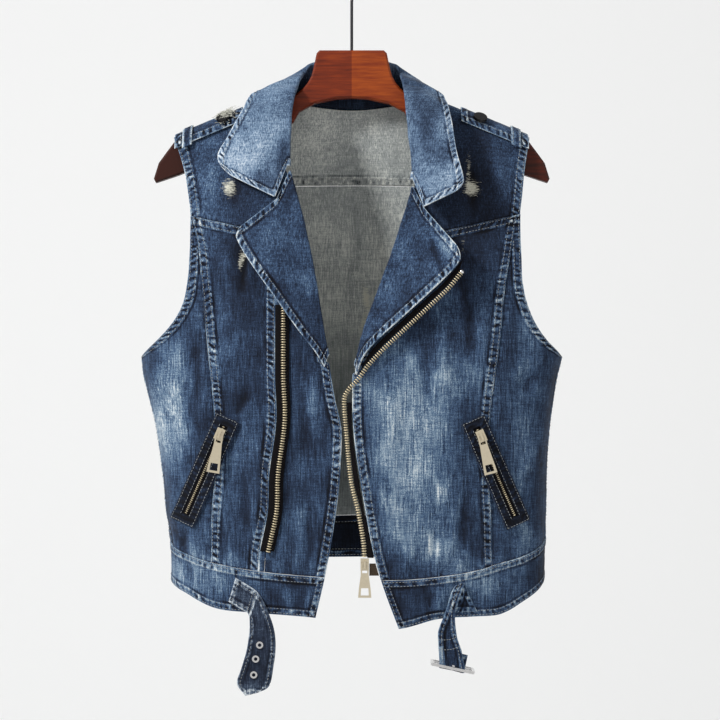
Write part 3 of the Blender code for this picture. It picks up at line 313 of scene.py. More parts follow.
def angle_of(x, z):
    """The ring angle, in front, of a place in the front view."""
    s = np.clip((x - at_height(RING, "shift", z)) / at_height(RING, "half", z), -1, 1)
    return np.degrees(np.arcsin(np.sign(s) * np.abs(s) ** (RING_POWER / 2)))


def fold_rise(angle, z):
    """How far the soft folds push the cloth out."""
    total = np.zeros(np.broadcast(angle, z).shape)
    for at, top, bottom, lean, half, rise in zip(*FOLDS.values()):
        along = (top - z) / (top - bottom)
        across = angle - at - lean * (along - 0.5)
        total = total + rise * hill(across, half) * smooth(along * 3) * smooth((1 - along) * 3)
    return total


def skin(angle, z):
    """The cloth's inner face. angle runs from -180 to 180."""
    s, c = np.sin(np.radians(angle)), np.cos(np.radians(angle))
    x = at_height(RING, "shift", z) + at_height(RING, "half", z) * np.sign(s) * np.abs(s) ** (2 / RING_POWER)
    below = np.maximum(shoulder(x) - z, 0)
    cap = np.sqrt(1 - (1 - np.minimum(below / ARM_ROOM, 1)) ** 2)
    chest = 1 - np.exp(-((below / CHEST_DEPTH_RISE) ** 1.2))
    deep = np.where(c > 0, at_height(RING, "front", z), at_height(RING, "back", z))
    deep = (deep + fold_rise(angle, z)) * np.abs(c) ** (2 / RING_POWER)
    y = -np.sign(c) * (ARM_ROOM * cap * smooth(np.abs(c) / 0.4) + deep * chest)
    y = y - np.sign(c) * 0.5 * GAP * smooth(np.abs(c) / 0.1)
    return np.stack(np.broadcast_arrays(x, y, z), -1)


def unit(vectors):
    return vectors / np.maximum(np.linalg.norm(vectors, axis=-1, keepdims=True), 1e-9)


def facing(angle, z):
    """The skin's outward direction."""
    around = skin(angle + 0.2, z) - skin(angle - 0.2, z)
    down = skin(angle, z - 0.3) - skin(angle, np.minimum(z + 0.3, shoulder(skin(angle, z)[..., 0])))
    return unit(np.cross(down, around))


def cloth(angle, z, out):
    """A point at a distance out from the cloth's inner face."""
    out = np.asarray(out, float)[..., None]
    return skin(angle, z) + facing(angle, z) * out


def on_front(x, z, out):
    """The same, from a place in the front view."""
    return cloth(angle_of(x, z), z, out)


def seam_angle(line, z):
    """Angle of one of the front's lines at a height."""
    return angle_of(at_height(line, "x", z), z)


def armhole_angle(side, z):
    """Angle of an armhole's edge in front, at a height."""
    column = "left" if side < 0 else "right"
    return angle_of(side * at_height(ARMHOLE, column, z), np.asarray(z, float))


def yoke_height(angle):
    """Height of the yoke seam, in front and behind."""
    x = np.abs(skin(angle, -280.0)[..., 0])
    front = YOKE_FRONT - YOKE_SLOPE * (YOKE_OUT - x)
    back = YOKE_BACK - YOKE_FALL * (x / YOKE_SIDE) ** 2
    return np.where(np.abs(angle) < 90, front, back)


def band_height(angle, edge):
    """Height of the waistband's top or bottom edge."""
    return curve(angle, BAND["angle"], BAND[edge])


def level(angle, v):
    """Height at a level: 0 is the yoke seam, 1 the underarm, 2 the waistband's seam and 3 the hem."""
    stops = [yoke_height(angle), UNDERARM, band_height(angle, "top"), band_height(angle, "bottom")]
    z = stops[0]
    for k in range(3):
        z = z + (stops[k + 1] - stops[k]) * np.clip(v - k, 0, 1)
    return z


def line_angle(line, v):
    """Angle at which a front line, or an armhole (a side of -1 or 1), meets a level."""
    armhole = not isinstance(line, dict)
    side = line if armhole else np.sign(line["x"].mean())
    angle = np.full(np.shape(v), 30.0 * side)
    for _ in range(SETTLE_STEPS):
        z = level(angle, v)
        angle = armhole_angle(line, z) if armhole else seam_angle(line, z)
    return angle


def speed(angle, z):
    """Millimetres of cloth for each degree."""
    return np.linalg.norm(skin(angle + 0.5, z) - skin(angle - 0.5, z), axis=-1)


def level_rows(levels):
    """A reader of the heights at these levels, for any angles."""
    return lambda angle: level(angle, levels)


def around(angle):
    """The same angle between -180 and 180."""
    return (np.asarray(angle) + 180) % 360 - 180


def wrapped(levels):
    """The same for angles that run on past 180."""
    return lambda angle: level(around(angle), levels)


def roll_inset(key, levels):
    """Degrees by which a front stops short of its roll line, where the lapel turns over."""
    angle = line_angle(FRONTS[key], levels)
    z = level(angle, levels)
    return np.where(z > LAPELS[key]["roll_z"][-1] - 8, ROLL_ROOM / speed(angle, z), 0.0)


def notch_bend(start, corner, tip, part):
    """Moves in x and z that bend the straight top edge of a lapel or collar out to its corner."""
    start, corner, tip = (np.array(place) for place in (start, corner, tip))
    length = np.linalg.norm(corner - start)
    at_notch = length / (length + np.linalg.norm(tip - corner))
    rise = np.maximum(0, np.minimum(part / at_notch, (1 - part) / (1 - at_notch)))
    bend = corner - (start + (tip - start) * at_notch)
    return bend[0] * rise, bend[1] * rise


def lapel_point(key, arc, share, t):
    """A point of a lapel's middle surface. arc is the angle round the fold, from -90 where it leaves the
    front to 90 where it lies on it; share runs on to the outer edge, and t runs down the roll line."""
    rows = LAPELS[key]
    roll_x, roll_z, edge_x, edge_z, lift = read_rows(rows, t)
    width = np.hypot(edge_x - roll_x, edge_z - roll_z)
    turned = np.radians(arc)
    near = FOLD_RADIUS * (1 - np.cos(turned))
    off = CLOTH / 2 + FOLD_RADIUS * (1 + np.sin(turned))
    near = near + share * (width - FOLD_RADIUS)
    off = off + lift * share**1.3
    part = near / width
    x, z = roll_x + (edge_x - roll_x) * part, roll_z + (edge_z - roll_z) * part
    ends = [(rows[k + "_x"][0], rows[k + "_z"][0]) for k in ("roll", "edge")]
    beside, above = notch_bend(ends[0], NOTCH[key], ends[1], part)
    fade = (1 - np.clip(t * 2.2, 0, 1)) ** 2
    return on_front(x + beside * fade, z + above * fade, off)


def collar_frames(t):
    """Neck, fold and edge points of the collar, and the way that it faces, at each t from 0 to 1."""
    value = dict(zip(COLLAR, read_rows(COLLAR, t)))
    found = []
    for part in ("neck", "fold", "edge"):
        x, z = value[part + "_x"], value[part + "_z"]
        front, back = skin(angle_of(x, z), z), skin(around(180 - angle_of(x, z)), z)
        y_front, y_back = front[..., 1] - value[part + "_lift"], back[..., 1] + value[part + "_lift"]
        blend = smooth((value["side"] + 1) / 2)
        found.append(np.stack([x, y_front * (1 - blend) + y_back * blend, z], -1))
    turn = np.radians(value["turn"])
    out = np.stack([np.sin(turn), -np.cos(turn), 0.6 * np.abs(np.sin(turn))], -1)
    return (*found, unit(out))


def collar_point(stand, arc, share, t):
    """A point of the collar's middle surface. stand runs 0 to 1 up from the neck seam, arc -90 to 90 round
    the fold, and share 0 to 1 down to the outer edge."""
    neck, fold, edge, out = collar_frames(t)
    reach = np.minimum(np.linalg.norm(neck - fold, axis=-1, keepdims=True) / 12, 1)
    back = unit(unit(edge - fold) + reach * unit(neck - fold))
    out = unit(out - (out * back).sum(-1, keepdims=True) * back)
    turned = np.radians(arc)[..., None]
    bow = fold + back * FOLD_RADIUS * (1 - np.cos(turned)) + out * FOLD_RADIUS * np.sin(turned)
    stand, share = stand[..., None], share[..., None]
    crown = 3.0 * np.sin(np.pi * share) * out
    point = neck + (bow - neck) * stand
    point = np.where(share > 0, bow + (edge - bow) * share + crown, point)
    for key, row, near_end in (("l", 0, t), ("r", -1, 1 - t)):
        ends = [(COLLAR[k + "_x"][row], COLLAR[k + "_z"][row]) for k in ("fold", "edge")]
        beside, above = notch_bend(ends[0], COLLAR_NOTCH[key], ends[1], share[..., 0])
        fade = (1 - np.clip(near_end * 9, 0, 1)) ** 2
        x, z = point[..., 0], point[..., 2]
        before, after = on_front(x, z, 0.0 * x), on_front(x + beside * fade, z + above * fade, 0.0 * x)
        bent = (np.abs(beside * fade) > 0)[..., None]
        point = np.where(bent, point + after - before, point)
    return point


def ridge_point(x, across, out):
    """A point over the shoulder: across is millimetres from the ridge, negative in front."""
    quarter = ARM_ROOM * math.pi / 2
    part = np.abs(across)
    below = np.where(part < quarter, ARM_ROOM * (1 - np.cos(np.minimum(part, quarter) / ARM_ROOM)),
                     ARM_ROOM + part - quarter)
    z = shoulder(x) - below
    angle = angle_of(x, z)
    angle = np.where(across > 0, around(180 - angle), angle)
    place = skin(angle, z)
    sideways = np.sin(np.minimum(part, quarter) / ARM_ROOM) * np.sign(across)
    upward = np.cos(np.minimum(part, quarter) / ARM_ROOM)
    out = np.asarray(out, float)
    return place + np.stack([np.zeros_like(upward), sideways * out, upward * out], -1)


FINE_ALONG = 1.9     # spacing of the grid lines down a panel
CREASE_DEPTH = 1.35
BASE_FADE = 0.34     # of cloth that is neither worn nor dark
THIN = 1.3           # thickness of the shown cloth
BAND_THICK = 2.0     # and of the waistband
STRAP_THICK = 1.6    # and of the straps
PATCH_LONG = 27.0    # of the left strap, where it is sewn down
STRAP_TIP_WORN, STRAP_TOP_WORN = -736.0, -680.0   # it is worn below the first height and above the second
RNG = np.random.default_rng(7)
# Rough sizes of the pieces, which set how many grid lines they get
ABOVE_ARM, BELOW_ARM, BAND_TALL = 142.0, 205.0, 46.0
LAPEL_WIDE, LAPEL_LONG = 54.0, 200.0
COLLAR_WIDE, COLLAR_LONG = 66.0, 520.0
EPAULET_LONG, EPAULET_WIDE = 74.0, 34.0
# How far the round corners reach, as shares of the width and of the length
LAPEL_CORNER, COLLAR_CORNER_L, COLLAR_CORNER_R = (0.16, 0.08), (0.19, 0.055), (0.15, 0.04)


def waves(points, seed, long, short, count=10):
    """Smooth unevenness between about -1 and 1, from sine waves in space."""
    rng = np.random.default_rng(seed)
    total, weight = 0.0, 0.0
    for _ in range(count):
        length = math.exp(rng.uniform(math.log(short), math.log(long)))
        way = unit(rng.normal(size=3))
        share = (length / long) ** 0.6
        total = total + share * np.sin(points @ way * (2 * math.pi / length) + rng.uniform(0, 6.28))
        weight += share**2
    return total / math.sqrt(weight)


def near_line(points, line):
    """Distance of each point from a polyline, and how far along it, from 0 to 1."""
    best, along = np.full(points.shape[:-1], 1e9), np.zeros(points.shape[:-1])
    count = len(line) - 1
    for k in range(count):
        step = line[k + 1] - line[k]
        w = np.clip(((points - line[k]) @ step) / (step @ step), 0, 1)
        far = np.linalg.norm(points - line[k] - w[..., None] * step, axis=-1)
        closer = far < best
        best, along = np.where(closer, far, best), np.where(closer, (k + w) / count, along)
    return best, along


def crease_relief(points, rows, behind=False):
    """Height that the creases in a table add."""
    total = np.zeros(points.shape[:-1])
    for x1, z1, x2, z2, bow, half, rise in zip(*rows.values()):
        t = np.linspace(0, 1, 9)
        ahead = np.array([x2 - x1, z2 - z1])
        beside = np.array([-ahead[1], ahead[0]]) / np.linalg.norm(ahead)
        x = x1 + ahead[0] * t + beside[0] * bow * np.sin(math.pi * t)
        z = z1 + ahead[1] * t + beside[1] * bow * np.sin(math.pi * t)
        angle = angle_of(x, z)
        line = skin(around(180 - angle) if behind else angle, z)
        middle, reach = line[4], np.linalg.norm(line[-1] - line[0]) / 2 + 3 * half
        close = np.linalg.norm(points - middle, axis=-1) < reach
        if not close.any():
            continue
        far, along = near_line(points[close], line)
        fade = np.sin(math.pi * np.clip(along, 0.03, 0.97)) ** 0.7
        total[close] += CREASE_DEPTH * rise * hill(far, half) * fade
    return total


def spots(points, rows, behind=False):
    """Soft patches from a table: x, z, their half sizes and an amount."""
    total = np.zeros(points.shape[:-1])
    for x, z, wide, tall, lean, amount in zip(*rows.values()):
        c, s = math.cos(math.radians(lean)), math.sin(math.radians(lean))
        dx, dz = points[..., 0] - x, points[..., 2] - z
        p, q = (dx * c - dz * s) / wide, (dx * s + dz * c) / tall
        total += amount * np.exp(-(p**2 + q**2) ** 1.3)
    return total * ((points[..., 1] > 0) == behind)


def arcs_of(grid):
    """Distances over the grid from its first and last column, and from its first and last row."""
    across = np.linalg.norm(np.diff(grid, axis=0), axis=-1)
    down = np.linalg.norm(np.diff(grid, axis=1), axis=-1)
    left = np.concatenate([np.zeros((1, grid.shape[1])), np.cumsum(across, 0)])
    top = np.concatenate([np.zeros((grid.shape[0], 1)), np.cumsum(down, 1)], 1)
    return {"left": left, "right": left[-1:] - left, "top": top, "bottom": top[:, -1:] - top}


ROPE_PITCH, SMALL_ROPE_PITCH = 6.8, 4.3   # of the puckers along a margin
# Each kind of margin: height and width of its raised part, stitch rows, worn edge, and strength of puckers
MARGINS = {
    "fell": {"raise": 0.7, "wide": 8.8, "rows": (1.7, 7.3), "worn": 0.30, "pucker": 1.0},
    "zip_edge": {"raise": 0.5, "wide": 8.6, "rows": (7.3, 13.0), "worn": 0.5, "pucker": 1.0, "shift": 5.4},
    "hem": {"raise": 0.6, "wide": 9.4, "rows": (2.0, 8.0), "worn": 0.42, "pucker": 1.0},
    "edge": {"raise": 0.5, "wide": 8.6, "rows": (2.0, 7.6), "worn": 0.5, "pucker": 1.0},
    "turned": {"raise": 0.35, "wide": 7.2, "rows": (6.6,), "worn": 0.62, "pucker": 1.15},
    "band": {"raise": 0.3, "wide": 6.4, "rows": (1.9, 6.2), "worn": 0.3, "pucker": 0.8},
    "strap": {"raise": 0.15, "wide": 5.0, "rows": (3.6,), "worn": 0.4, "pucker": 0.8},
    "loop": {"raise": 0.15, "wide": 2.4, "rows": (2.0,), "worn": 0.5, "pucker": 0.5},
    "tuck": {"raise": 0.0, "wide": 0.0, "rows": (), "worn": 0.0, "pucker": 0.45},
    "plain": {"raise": 0.0, "wide": 0.0, "rows": (), "worn": 0.0, "pucker": 0.0},
}


def margin_looks(kind, off, along, points, seed):
    """Height, fading and darkening that a margin adds at a distance off its edge; the dark line just past a
    raised margin is painted shadow.
    """
    row = MARGINS[kind]
    wide = row["wide"]
    off = off - row.get("shift", 0.0)
    wobble = waves(points, seed, 40, 12, 6)
    rope = np.sin(2 * math.pi * (along + 0.35 * off + 2.2 * wobble) / ROPE_PITCH)
    rope = rope + 0.5 * np.sin(2 * math.pi * (along - 0.2 * off) / SMALL_ROPE_PITCH + 3 * wobble)
    rope = rope * (0.75 + 0.45 * waves(points, seed + 3, 25, 9, 6))
    if not wide:
        close = hill(off, 6.0) * row["pucker"]
        height = close * (0.3 * rope - 0.25)
        return height, close * 0.16 * rope, close * 0.25 * hill(off, 1.6)
    band = 1 - smooth((off - wide + 0.8) / 1.6)
    middle = band * smooth(off / 2.5)
    height = row["raise"] * band + middle * 0.26 * rope * row["pucker"]
    worn = row["worn"] * hill(off, 1.1) * (0.8 + 0.35 * wobble)
    fade = worn + middle * (0.05 + 0.22 * rope * row["pucker"]) + 0.2 * hill(off - wide + 0.4, 0.9)
    # Painted shadow: a dark line just past the raised margin, where the margin would cast its shade
    dark = 0.42 * hill(off - wide - 1.4, 1.2) * (0.7 + 0.5 * wobble)
    dark = dark + middle * 0.30 * np.clip(-rope, 0, 1) * row["pucker"]
    return height, fade, dark


def make_mesh(name, points, faces, materials, indices=None):
    mesh = bpy.data.meshes.new(name)
    mesh.from_pydata((np.asarray(points, float) * MM).tolist(), [], faces)
    for made in materials:
        mesh.materials.append(made)
    if indices is not None:
        mesh.polygons.foreach_set("material_index", np.asarray(indices, np.int32))
    mesh.shade_smooth()
    return placed(name, mesh)


def placed(name, data):
    """A new object in the scene."""
    found = bpy.data.objects.new(name, data)
    bpy.context.collection.objects.link(found)
    return found


def shell(name, inner, outer, wear_and_shade, materials):
    """A thin closed sheet between two grids of points. Its third grid, (nu, nv, 3), holds fading, fraying and
    darkening, with painted shade in the fading and darkening as well as wear.
    Its edges are rounded, and its inner face has the second material."""
    nu, nv = outer.shape[:2]
    middle = (inner + outer) / 2
    rim = np.zeros((nu, nv, 1))
    rim[[0, -1]] = rim[:, [0, -1]] = 0.45
    outer, inner = outer + (middle - outer) * rim, inner + (middle - inner) * rim
    number = np.arange(nu * nv).reshape(nu, nv)
    a, b, c, d = number[:-1, :-1], number[1:, :-1], number[1:, 1:], number[:-1, 1:]
    front = np.stack([a, d, c, b], -1).reshape(-1, 4)
    behind = np.stack([a, b, c, d], -1).reshape(-1, 4) + nu * nv
    loop = np.concatenate([number[:-1, 0], number[-1, :-1], number[:0:-1, -1], number[0, :0:-1]])
    after = np.roll(loop, -1)
    edge = np.stack([loop, after, after + nu * nv, loop + nu * nv], -1)
    points = np.concatenate([outer.reshape(-1, 3), inner.reshape(-1, 3)])
    normal = np.cross(outer[1, 1] - outer[0, 0], outer[0, 1] - outer[1, 0])
    faces = np.concatenate([front, behind, edge])
    towards = (outer[0, 0] - inner[0, 0]) @ normal
    if towards > 0:
        faces = faces[:, ::-1]
    indices = np.concatenate([np.zeros(len(front)), np.ones(len(behind)), np.zeros(len(edge))]).astype(int)
    made = make_mesh(name, points, faces.tolist(), materials, indices)
    keep_wear_and_shade(made, np.tile(wear_and_shade.reshape(-1, 3), (2, 1)))
    return made


def keep_wear_and_shade(made, wear_and_shade):
    """Stores fading, fraying and darkening at the points of a mesh, for its material; the fading and
    darkening hold painted shade as well as wear.
    """
    colour = np.ones((len(wear_and_shade), 4))
    colour[:, :3] = np.clip(wear_and_shade, 0, 1)
    layer = made.data.color_attributes.new("wear_and_shade", "FLOAT_COLOR", "POINT")
    layer.data.foreach_set("color", colour.ravel())


STITCHES = []        # (place, along, out) of every stitch on the garment


def at_offset(grid, normal, edge, off):
    """The line on a grid at a distance from one of its edges, with the surface's outward direction."""
    far = arcs_of(grid)[edge]
    if edge in ("top", "bottom"):
        grid, normal, far = grid.swapaxes(0, 1), normal.swapaxes(0, 1), far.T
    if edge in ("right", "bottom"):
        grid, normal, far = grid[::-1], normal[::-1], far[::-1]
    line, out = [], []
    for k in range(grid.shape[1]):
        if far[-1, k] <= off:
            continue
        i = int(np.searchsorted(far[:, k], off)) or 1
        t = (off - far[i - 1, k]) / (far[i, k] - far[i - 1, k])
        line.append(grid[i - 1, k] + (grid[i, k] - grid[i - 1, k]) * t)
        out.append(normal[i, k])
    return np.array(line), np.array(out)


def line_reader(line):
    """The length of a line, and a reader of values kept at its points, at any distances along it."""
    far = np.concatenate([[0], np.cumsum(np.linalg.norm(np.diff(line, axis=0), axis=1))])
    return far[-1], lambda at, values: np.stack([np.interp(at, far, values[:, k]) for k in range(3)], 1)


def sew(line, out, start=2.0, end=2.0, pitch=3.3, lift=0.12):
    """Lays stitches along a line on the cloth."""
    if len(line) < 3:
        return
    length, read = line_reader(line)
    at = np.arange(start, length - end, pitch)
    if len(at) < 2:
        return
    at = at + RNG.normal(0, 0.12, len(at))
    place, up = read(at, line), unit(read(at, out))
    STITCHES.extend(zip(place + up * lift, unit(read(at + 0.8, line) - place), up))


def build_stitches(rows, long=2.2, wide=0.5, high=0.36):
    """One mesh of many short rounded threads."""
    place, ahead, up = (np.array([r[k] for r in rows]) for k in range(3))
    side = np.cross(ahead, up)
    corners = []
    for along, width, rise in ((-1, 0.45, -0.5), (-0.55, 1, 1), (0.55, 1, 1), (1, 0.45, -0.5)):
        for s in (-1, 1):
            corners.append(place + ahead * along * long / 2 + side * s * width * wide / 2
                           + up * (rise * high / 2 - (0.1 if abs(along) == 1 else 0)))
        corners.append(place + ahead * along * long / 2 + up * (rise * high * 0.9 if rise > 0 else -0.15))
    points = np.stack(corners, 1)
    one = []
    for k in range(3):
        a, b = 3 * k, 3 * k + 3
        one += [(a, b, b + 2, a + 2), (a + 2, b + 2, b + 1, a + 1), (a + 1, b + 1, b, a)]
    one += [(0, 2, 1, 1), (9, 10, 11, 11)]
    one = [tuple(dict.fromkeys(f)) for f in one]
    count = points.shape[1]
    faces = [tuple(i + n * count for i in f) for n in range(len(rows)) for f in one]
    return points.reshape(-1, 3), faces


def garment(name, base, normal, kinds, thick=THIN, relief=0.0, fade=0.0, dark=0.0, fray=0.0, looks=None,
            rests_on="hanger_wood", seed=1, slot="denim", stands_for=True):
    """A piece of cloth that stands for the node of its name. base is its inner face, kinds the margin along
    each of its edges."""
    far = arcs_of(base)
    along = {"left": far["top"], "right": far["top"], "top": far["left"], "bottom": far["left"]}
    height = 0.22 * waves(base, seed, 60, 14) + 0.08 * waves(base, seed + 5, 12, 6)
    height = height + relief
    lift = np.zeros(base.shape[:2])
    fade_all = BASE_FADE + fade + 0.05 * waves(base, seed + 9, 90, 25)
    dark_all = dark + np.zeros(base.shape[:2])
    for k, (edge, kind) in enumerate(kinds.items()):
        more = margin_looks(kind, far[edge], along[edge], base, seed * 10 + k)
        lift, fade_all, dark_all = lift + more[0], fade_all + more[1], dark_all + more[2]
    # Fold tops lighter and troughs darker: on the tops partly wear and partly painted light, in the troughs
    # painted shade
    ridge = np.clip(height, -2, 2)
    fade_all = fade_all + 0.07 * ridge
    dark_all = dark_all + 0.06 * np.clip(-ridge - 0.3, 0, 2)
    outer = base + normal * (thick + height + lift)[..., None]
    inner = base + normal * np.minimum(height, 0.4)[..., None]
    wear_and_shade = np.stack([fade_all, np.broadcast_to(fray, dark_all.shape), dark_all], -1)
    made = shell(name + "_cloth", inner, outer, wear_and_shade, looks or (DENIM, REVERSE))
    for edge, kind in kinds.items():
        for off in MARGINS[kind]["rows"]:
            line, out = at_offset(outer, normal, edge, off)
            sew(line, out)
    dress(made, name if stands_for else None, slot)
    return made, outer, normal


def dress(made, node, slot):
    """Lets a piece ride on its body in the place of its solid."""
    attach(made, BODY)
    if node:
        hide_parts(node)


def linear(hexadecimal):
    """A colour written as six digits, in linear light."""
    value = np.array([int(hexadecimal[k:k + 2], 16) / 255 for k in (0, 2, 4)])
    return np.where(value <= 0.04045, value / 12.92, ((value + 0.055) / 1.055) ** 2.4)


def new_material(name):
    made = bpy.data.materials.new(name)
    made.use_nodes = True
    return made, made.node_tree, made.node_tree.nodes["Principled BSDF"]


def add(tree, kind, **values):
    """A node with some of its sockets or settings set."""
    node = tree.nodes.new(kind)
    for key, value in values.items():
        if key in node.inputs:
            node.inputs[key].default_value = value
        else:
            setattr(node, key, value)
    return node


def set_inputs(node, values):
    for key, value in values.items():
        node.inputs[key].default_value = value


def noise(tree, stretch, detail=2.0, rough=0.5):
    """Noise in the object's own place, stretched along its axes: larger numbers are finer."""
    place = add(tree, "ShaderNodeTexCoord")
    scaled = add(tree, "ShaderNodeMapping")
    scaled.inputs["Scale"].default_value = stretch
    tree.links.new(place.outputs["Object"], scaled.inputs["Vector"])
    made = add(tree, "ShaderNodeTexNoise", Scale=1.0, Detail=detail, Roughness=rough)
    tree.links.new(scaled.outputs["Vector"], made.inputs["Vector"])
    return made.outputs["Fac"]


def maths(tree, how, first, second=None, third=None, clamp=False):
    node = tree.nodes.new("ShaderNodeMath")
    node.operation = how
    node.use_clamp = clamp
    for socket, value in zip(node.inputs, (first, second, third)):
        if value is None:
            continue
        if isinstance(value, (int, float)):
            socket.default_value = value
        else:
            tree.links.new(value, socket)
    return node.outputs[0]


def mixed(tree, how, share, first, second):
    """Two colours mixed; each may be a socket or a colour."""
    node = tree.nodes.new("ShaderNodeMix")
    node.data_type, node.blend_type = "RGBA", how
    for socket, value in ((node.inputs[0], share), (node.inputs[6], first), (node.inputs[7], second)):
        if isinstance(value, (int, float)):
            socket.default_value = value
        elif hasattr(value, "links"):
            tree.links.new(value, socket)
        else:
            socket.default_value = (*value, 1)
    return node.outputs[2]


def ramp(tree, value, stops):
    node = tree.nodes.new("ShaderNodeValToRGB")
    while len(node.color_ramp.elements) < len(stops):
        node.color_ramp.elements.new(0.5)
    for element, (at, colour) in zip(node.color_ramp.elements, stops):
        element.position = at
        element.color = (*(linear(colour) if isinstance(colour, str) else colour), 1)
    tree.links.new(value, node.inputs[0])
    return node.outputs[0]


# Colours from unfaded to bare, each at its share of fading
INDIGO = ((0.0, "080a11"), (0.18, "121927"), (0.34, "222f44"), (0.50, "3b506c"), (0.66, "657a8d"),
          (0.84, "99a6b0"), (1.0, "c6cbcb"))
PALE = ((0.0, "0e1420"), (0.18, "222e41"), (0.34, "40526a"), (0.50, "62778d"), (0.66, "8494a6"),
        (0.84, "a8b3bd"), (1.0, "cdd3d4"))
BACK_FACE = ((0.0, "15171a"), (0.22, "35393b"), (0.42, "5b6061"), (0.6, "7c8181"), (0.8, "9b9f9d"),
             (1.0, "c6c8c2"))
STRAP_COLOURS = ((0.0, "090c14"), (0.25, "151b28"), (0.45, "262f3f"), (0.65, "4b596b"), (1.0, "b4bcc2"))


def denim(name, colours, shift=0.0, slub=0.8, grain=0.6, mottle=0.3, bump=0.5):
    """Worn twill: its fade, with painted shade in it, comes from the mesh, its slubs and grain from noise in
    its own place.
    """
    made, tree, shader = new_material(name)
    layer = add(tree, "ShaderNodeAttribute", attribute_name="wear_and_shade")
    parts = tree.nodes.new("ShaderNodeSeparateColor")
    tree.links.new(layer.outputs["Color"], parts.inputs[0])
    fade, fray, dark = parts.outputs
    gain = maths(tree, "MULTIPLY_ADD", fade, 1.6, 0.35)
    slubs = noise(tree, (1000, 1000, 42), 3.0, 0.65)
    weft = noise(tree, (70, 70, 900), 3.0, 0.65)
    fine = noise(tree, (1000, 1000, 1000), 2.0, 0.7)
    patch = noise(tree, (110, 110, 24), 5.0, 0.66)
    grainy = 0.0
    for part, share in ((slubs, slub), (weft, slub * 0.45), (fine, grain), (patch, mottle)):
        grainy = maths(tree, "MULTIPLY_ADD", maths(tree, "SUBTRACT", part, 0.5), share, grainy)
    value = maths(tree, "MULTIPLY_ADD", grainy, gain, fade)
    value = maths(tree, "ADD", maths(tree, "SUBTRACT", value, maths(tree, "MULTIPLY", dark, 0.75)), shift)
    colour = ramp(tree, value, colours)
    threads = noise(tree, (170, 170, 1500), 3.0, 0.7)
    ragged = maths(tree, "MULTIPLY_ADD", maths(tree, "SUBTRACT", threads, 0.5), 3.2, fray)
    torn = maths(tree, "MULTIPLY", maths(tree, "SUBTRACT", ragged, 0.5), 3.0, clamp=True)
    torn = maths(tree, "MULTIPLY", torn, maths(tree, "MULTIPLY", fray, 3.0, clamp=True))
    colour = mixed(tree, "MIX", torn, colour, linear("bdbcae"))
    tree.links.new(colour, shader.inputs["Base Color"])
    set_inputs(shader, {"Roughness": 0.9, "Sheen Weight": 0.05, "Specular IOR Level": 0.12})
    height = maths(tree, "MULTIPLY_ADD", fine, 0.6, maths(tree, "MULTIPLY", slubs, 0.8))
    tree.links.new(bumped(tree, height, bump, 0.35), shader.inputs["Normal"])
    return made


def bumped(tree, height, strength, millimetres):
    node = add(tree, "ShaderNodeBump", Strength=strength, Distance=millimetres * MM)
    tree.links.new(height, node.inputs["Height"])
    return node.outputs[0]


def plain(name, colour, rough, metal=0.0, spread=0.0):
    """A plain finish whose colour varies a little from place to place."""
    made, tree, shader = new_material(name)
    set_inputs(shader, {"Base Color": (*linear(colour), 1), "Specular IOR Level": 0.5 if metal else 0.12,
                        "Roughness": rough, "Metallic": metal})
    if spread:
        varied = noise(tree, (420, 420, 420), 3.0, 0.6)
        low = linear(colour) * (1 - spread)
        tree.links.new(ramp(tree, varied, ((0.3, low), (0.7, linear(colour) * (1 + spread * 0.5)))),
                       shader.inputs["Base Color"])
    return made


def wood(name):
    """Varnished wood, darker on its left half, with the joint in the middle, and painted shade that darkens
    it towards the arm tips.
    """
    made, tree, shader = new_material(name)
    place = add(tree, "ShaderNodeTexCoord")
    apart = tree.nodes.new("ShaderNodeSeparateXYZ")
    tree.links.new(place.outputs["Object"], apart.inputs[0])
    right = maths(tree, "GREATER_THAN", apart.outputs[0], 0.0)
    grain = noise(tree, (26, 26, 320), 5.0, 0.65)
    flecks = noise(tree, (90, 60, 900), 2.0, 0.5)
    broad = noise(tree, (14, 14, 40), 2.0, 0.5)
    value = maths(tree, "MULTIPLY_ADD", flecks, 0.12, maths(tree, "MULTIPLY_ADD", grain, 0.45, 0.1))
    value = maths(tree, "MULTIPLY_ADD", broad, 0.3, value)
    value = maths(tree, "MULTIPLY_ADD", right, 0.14, value)
    # Painted shade: the wood darker towards the tips of the arms
    outward = maths(tree, "SUBTRACT", maths(tree, "ABSOLUTE", apart.outputs[0]), 0.12)
    tip_shade = maths(tree, "MULTIPLY", outward, 22.0, clamp=True)
    value = maths(tree, "MULTIPLY_ADD", tip_shade, -0.3, value)
    colour = ramp(tree, value, ((0.3, "2c0a01"), (0.45, "4c1503"), (0.6, "6c2506"), (0.8, "93420d")))
    tree.links.new(colour, shader.inputs["Base Color"])
    set_inputs(shader, {"Roughness": 0.5, "Specular IOR Level": 0.2, "Coat Weight": 0.08,
                        "Coat Roughness": 0.25})
    return made


DENIM = denim("denim_look", INDIGO)
REVERSE = denim("denim_reverse_look", BACK_FACE, shift=0.42, slub=1.0, grain=0.55, mottle=0.42)
COLLAR_DENIM = denim("denim_pale_look", PALE, shift=0.02, slub=0.95, mottle=0.4)
DARK_DENIM = denim("denim_dark_look", INDIGO, shift=-0.08)
STRAP_DENIM = denim("strap_denim_look", STRAP_COLOURS)
THREAD = plain("thread", "969a9a", 0.85, spread=0.35)
TAPE_LOOK = plain("zip_tape_look", "0b090b", 0.9, spread=0.35)
BRASS = plain("brass_look", "cdbf9f", 0.38, 0.7, spread=0.3)
# Aged brass for the zip's box, darkened further as painted shade where the box sits half hidden
OLD_SHADED_BRASS = plain("old_shaded_brass_look", "41362a", 0.45, 0.7, spread=0.3)
NICKEL = plain("nickel_look", "dacfb6", 0.3, 0.9, spread=0.06)
SILVER = plain("silver_look", "dcdcdc", 0.25, 1.0, spread=0.1)
DARK_METAL = plain("hook_look", "2b2b2d", 0.35, 1.0)
FLUFF = plain("fray_look", "b9b9ae", 0.95, spread=0.2)
WOOD = wood("wood_look")
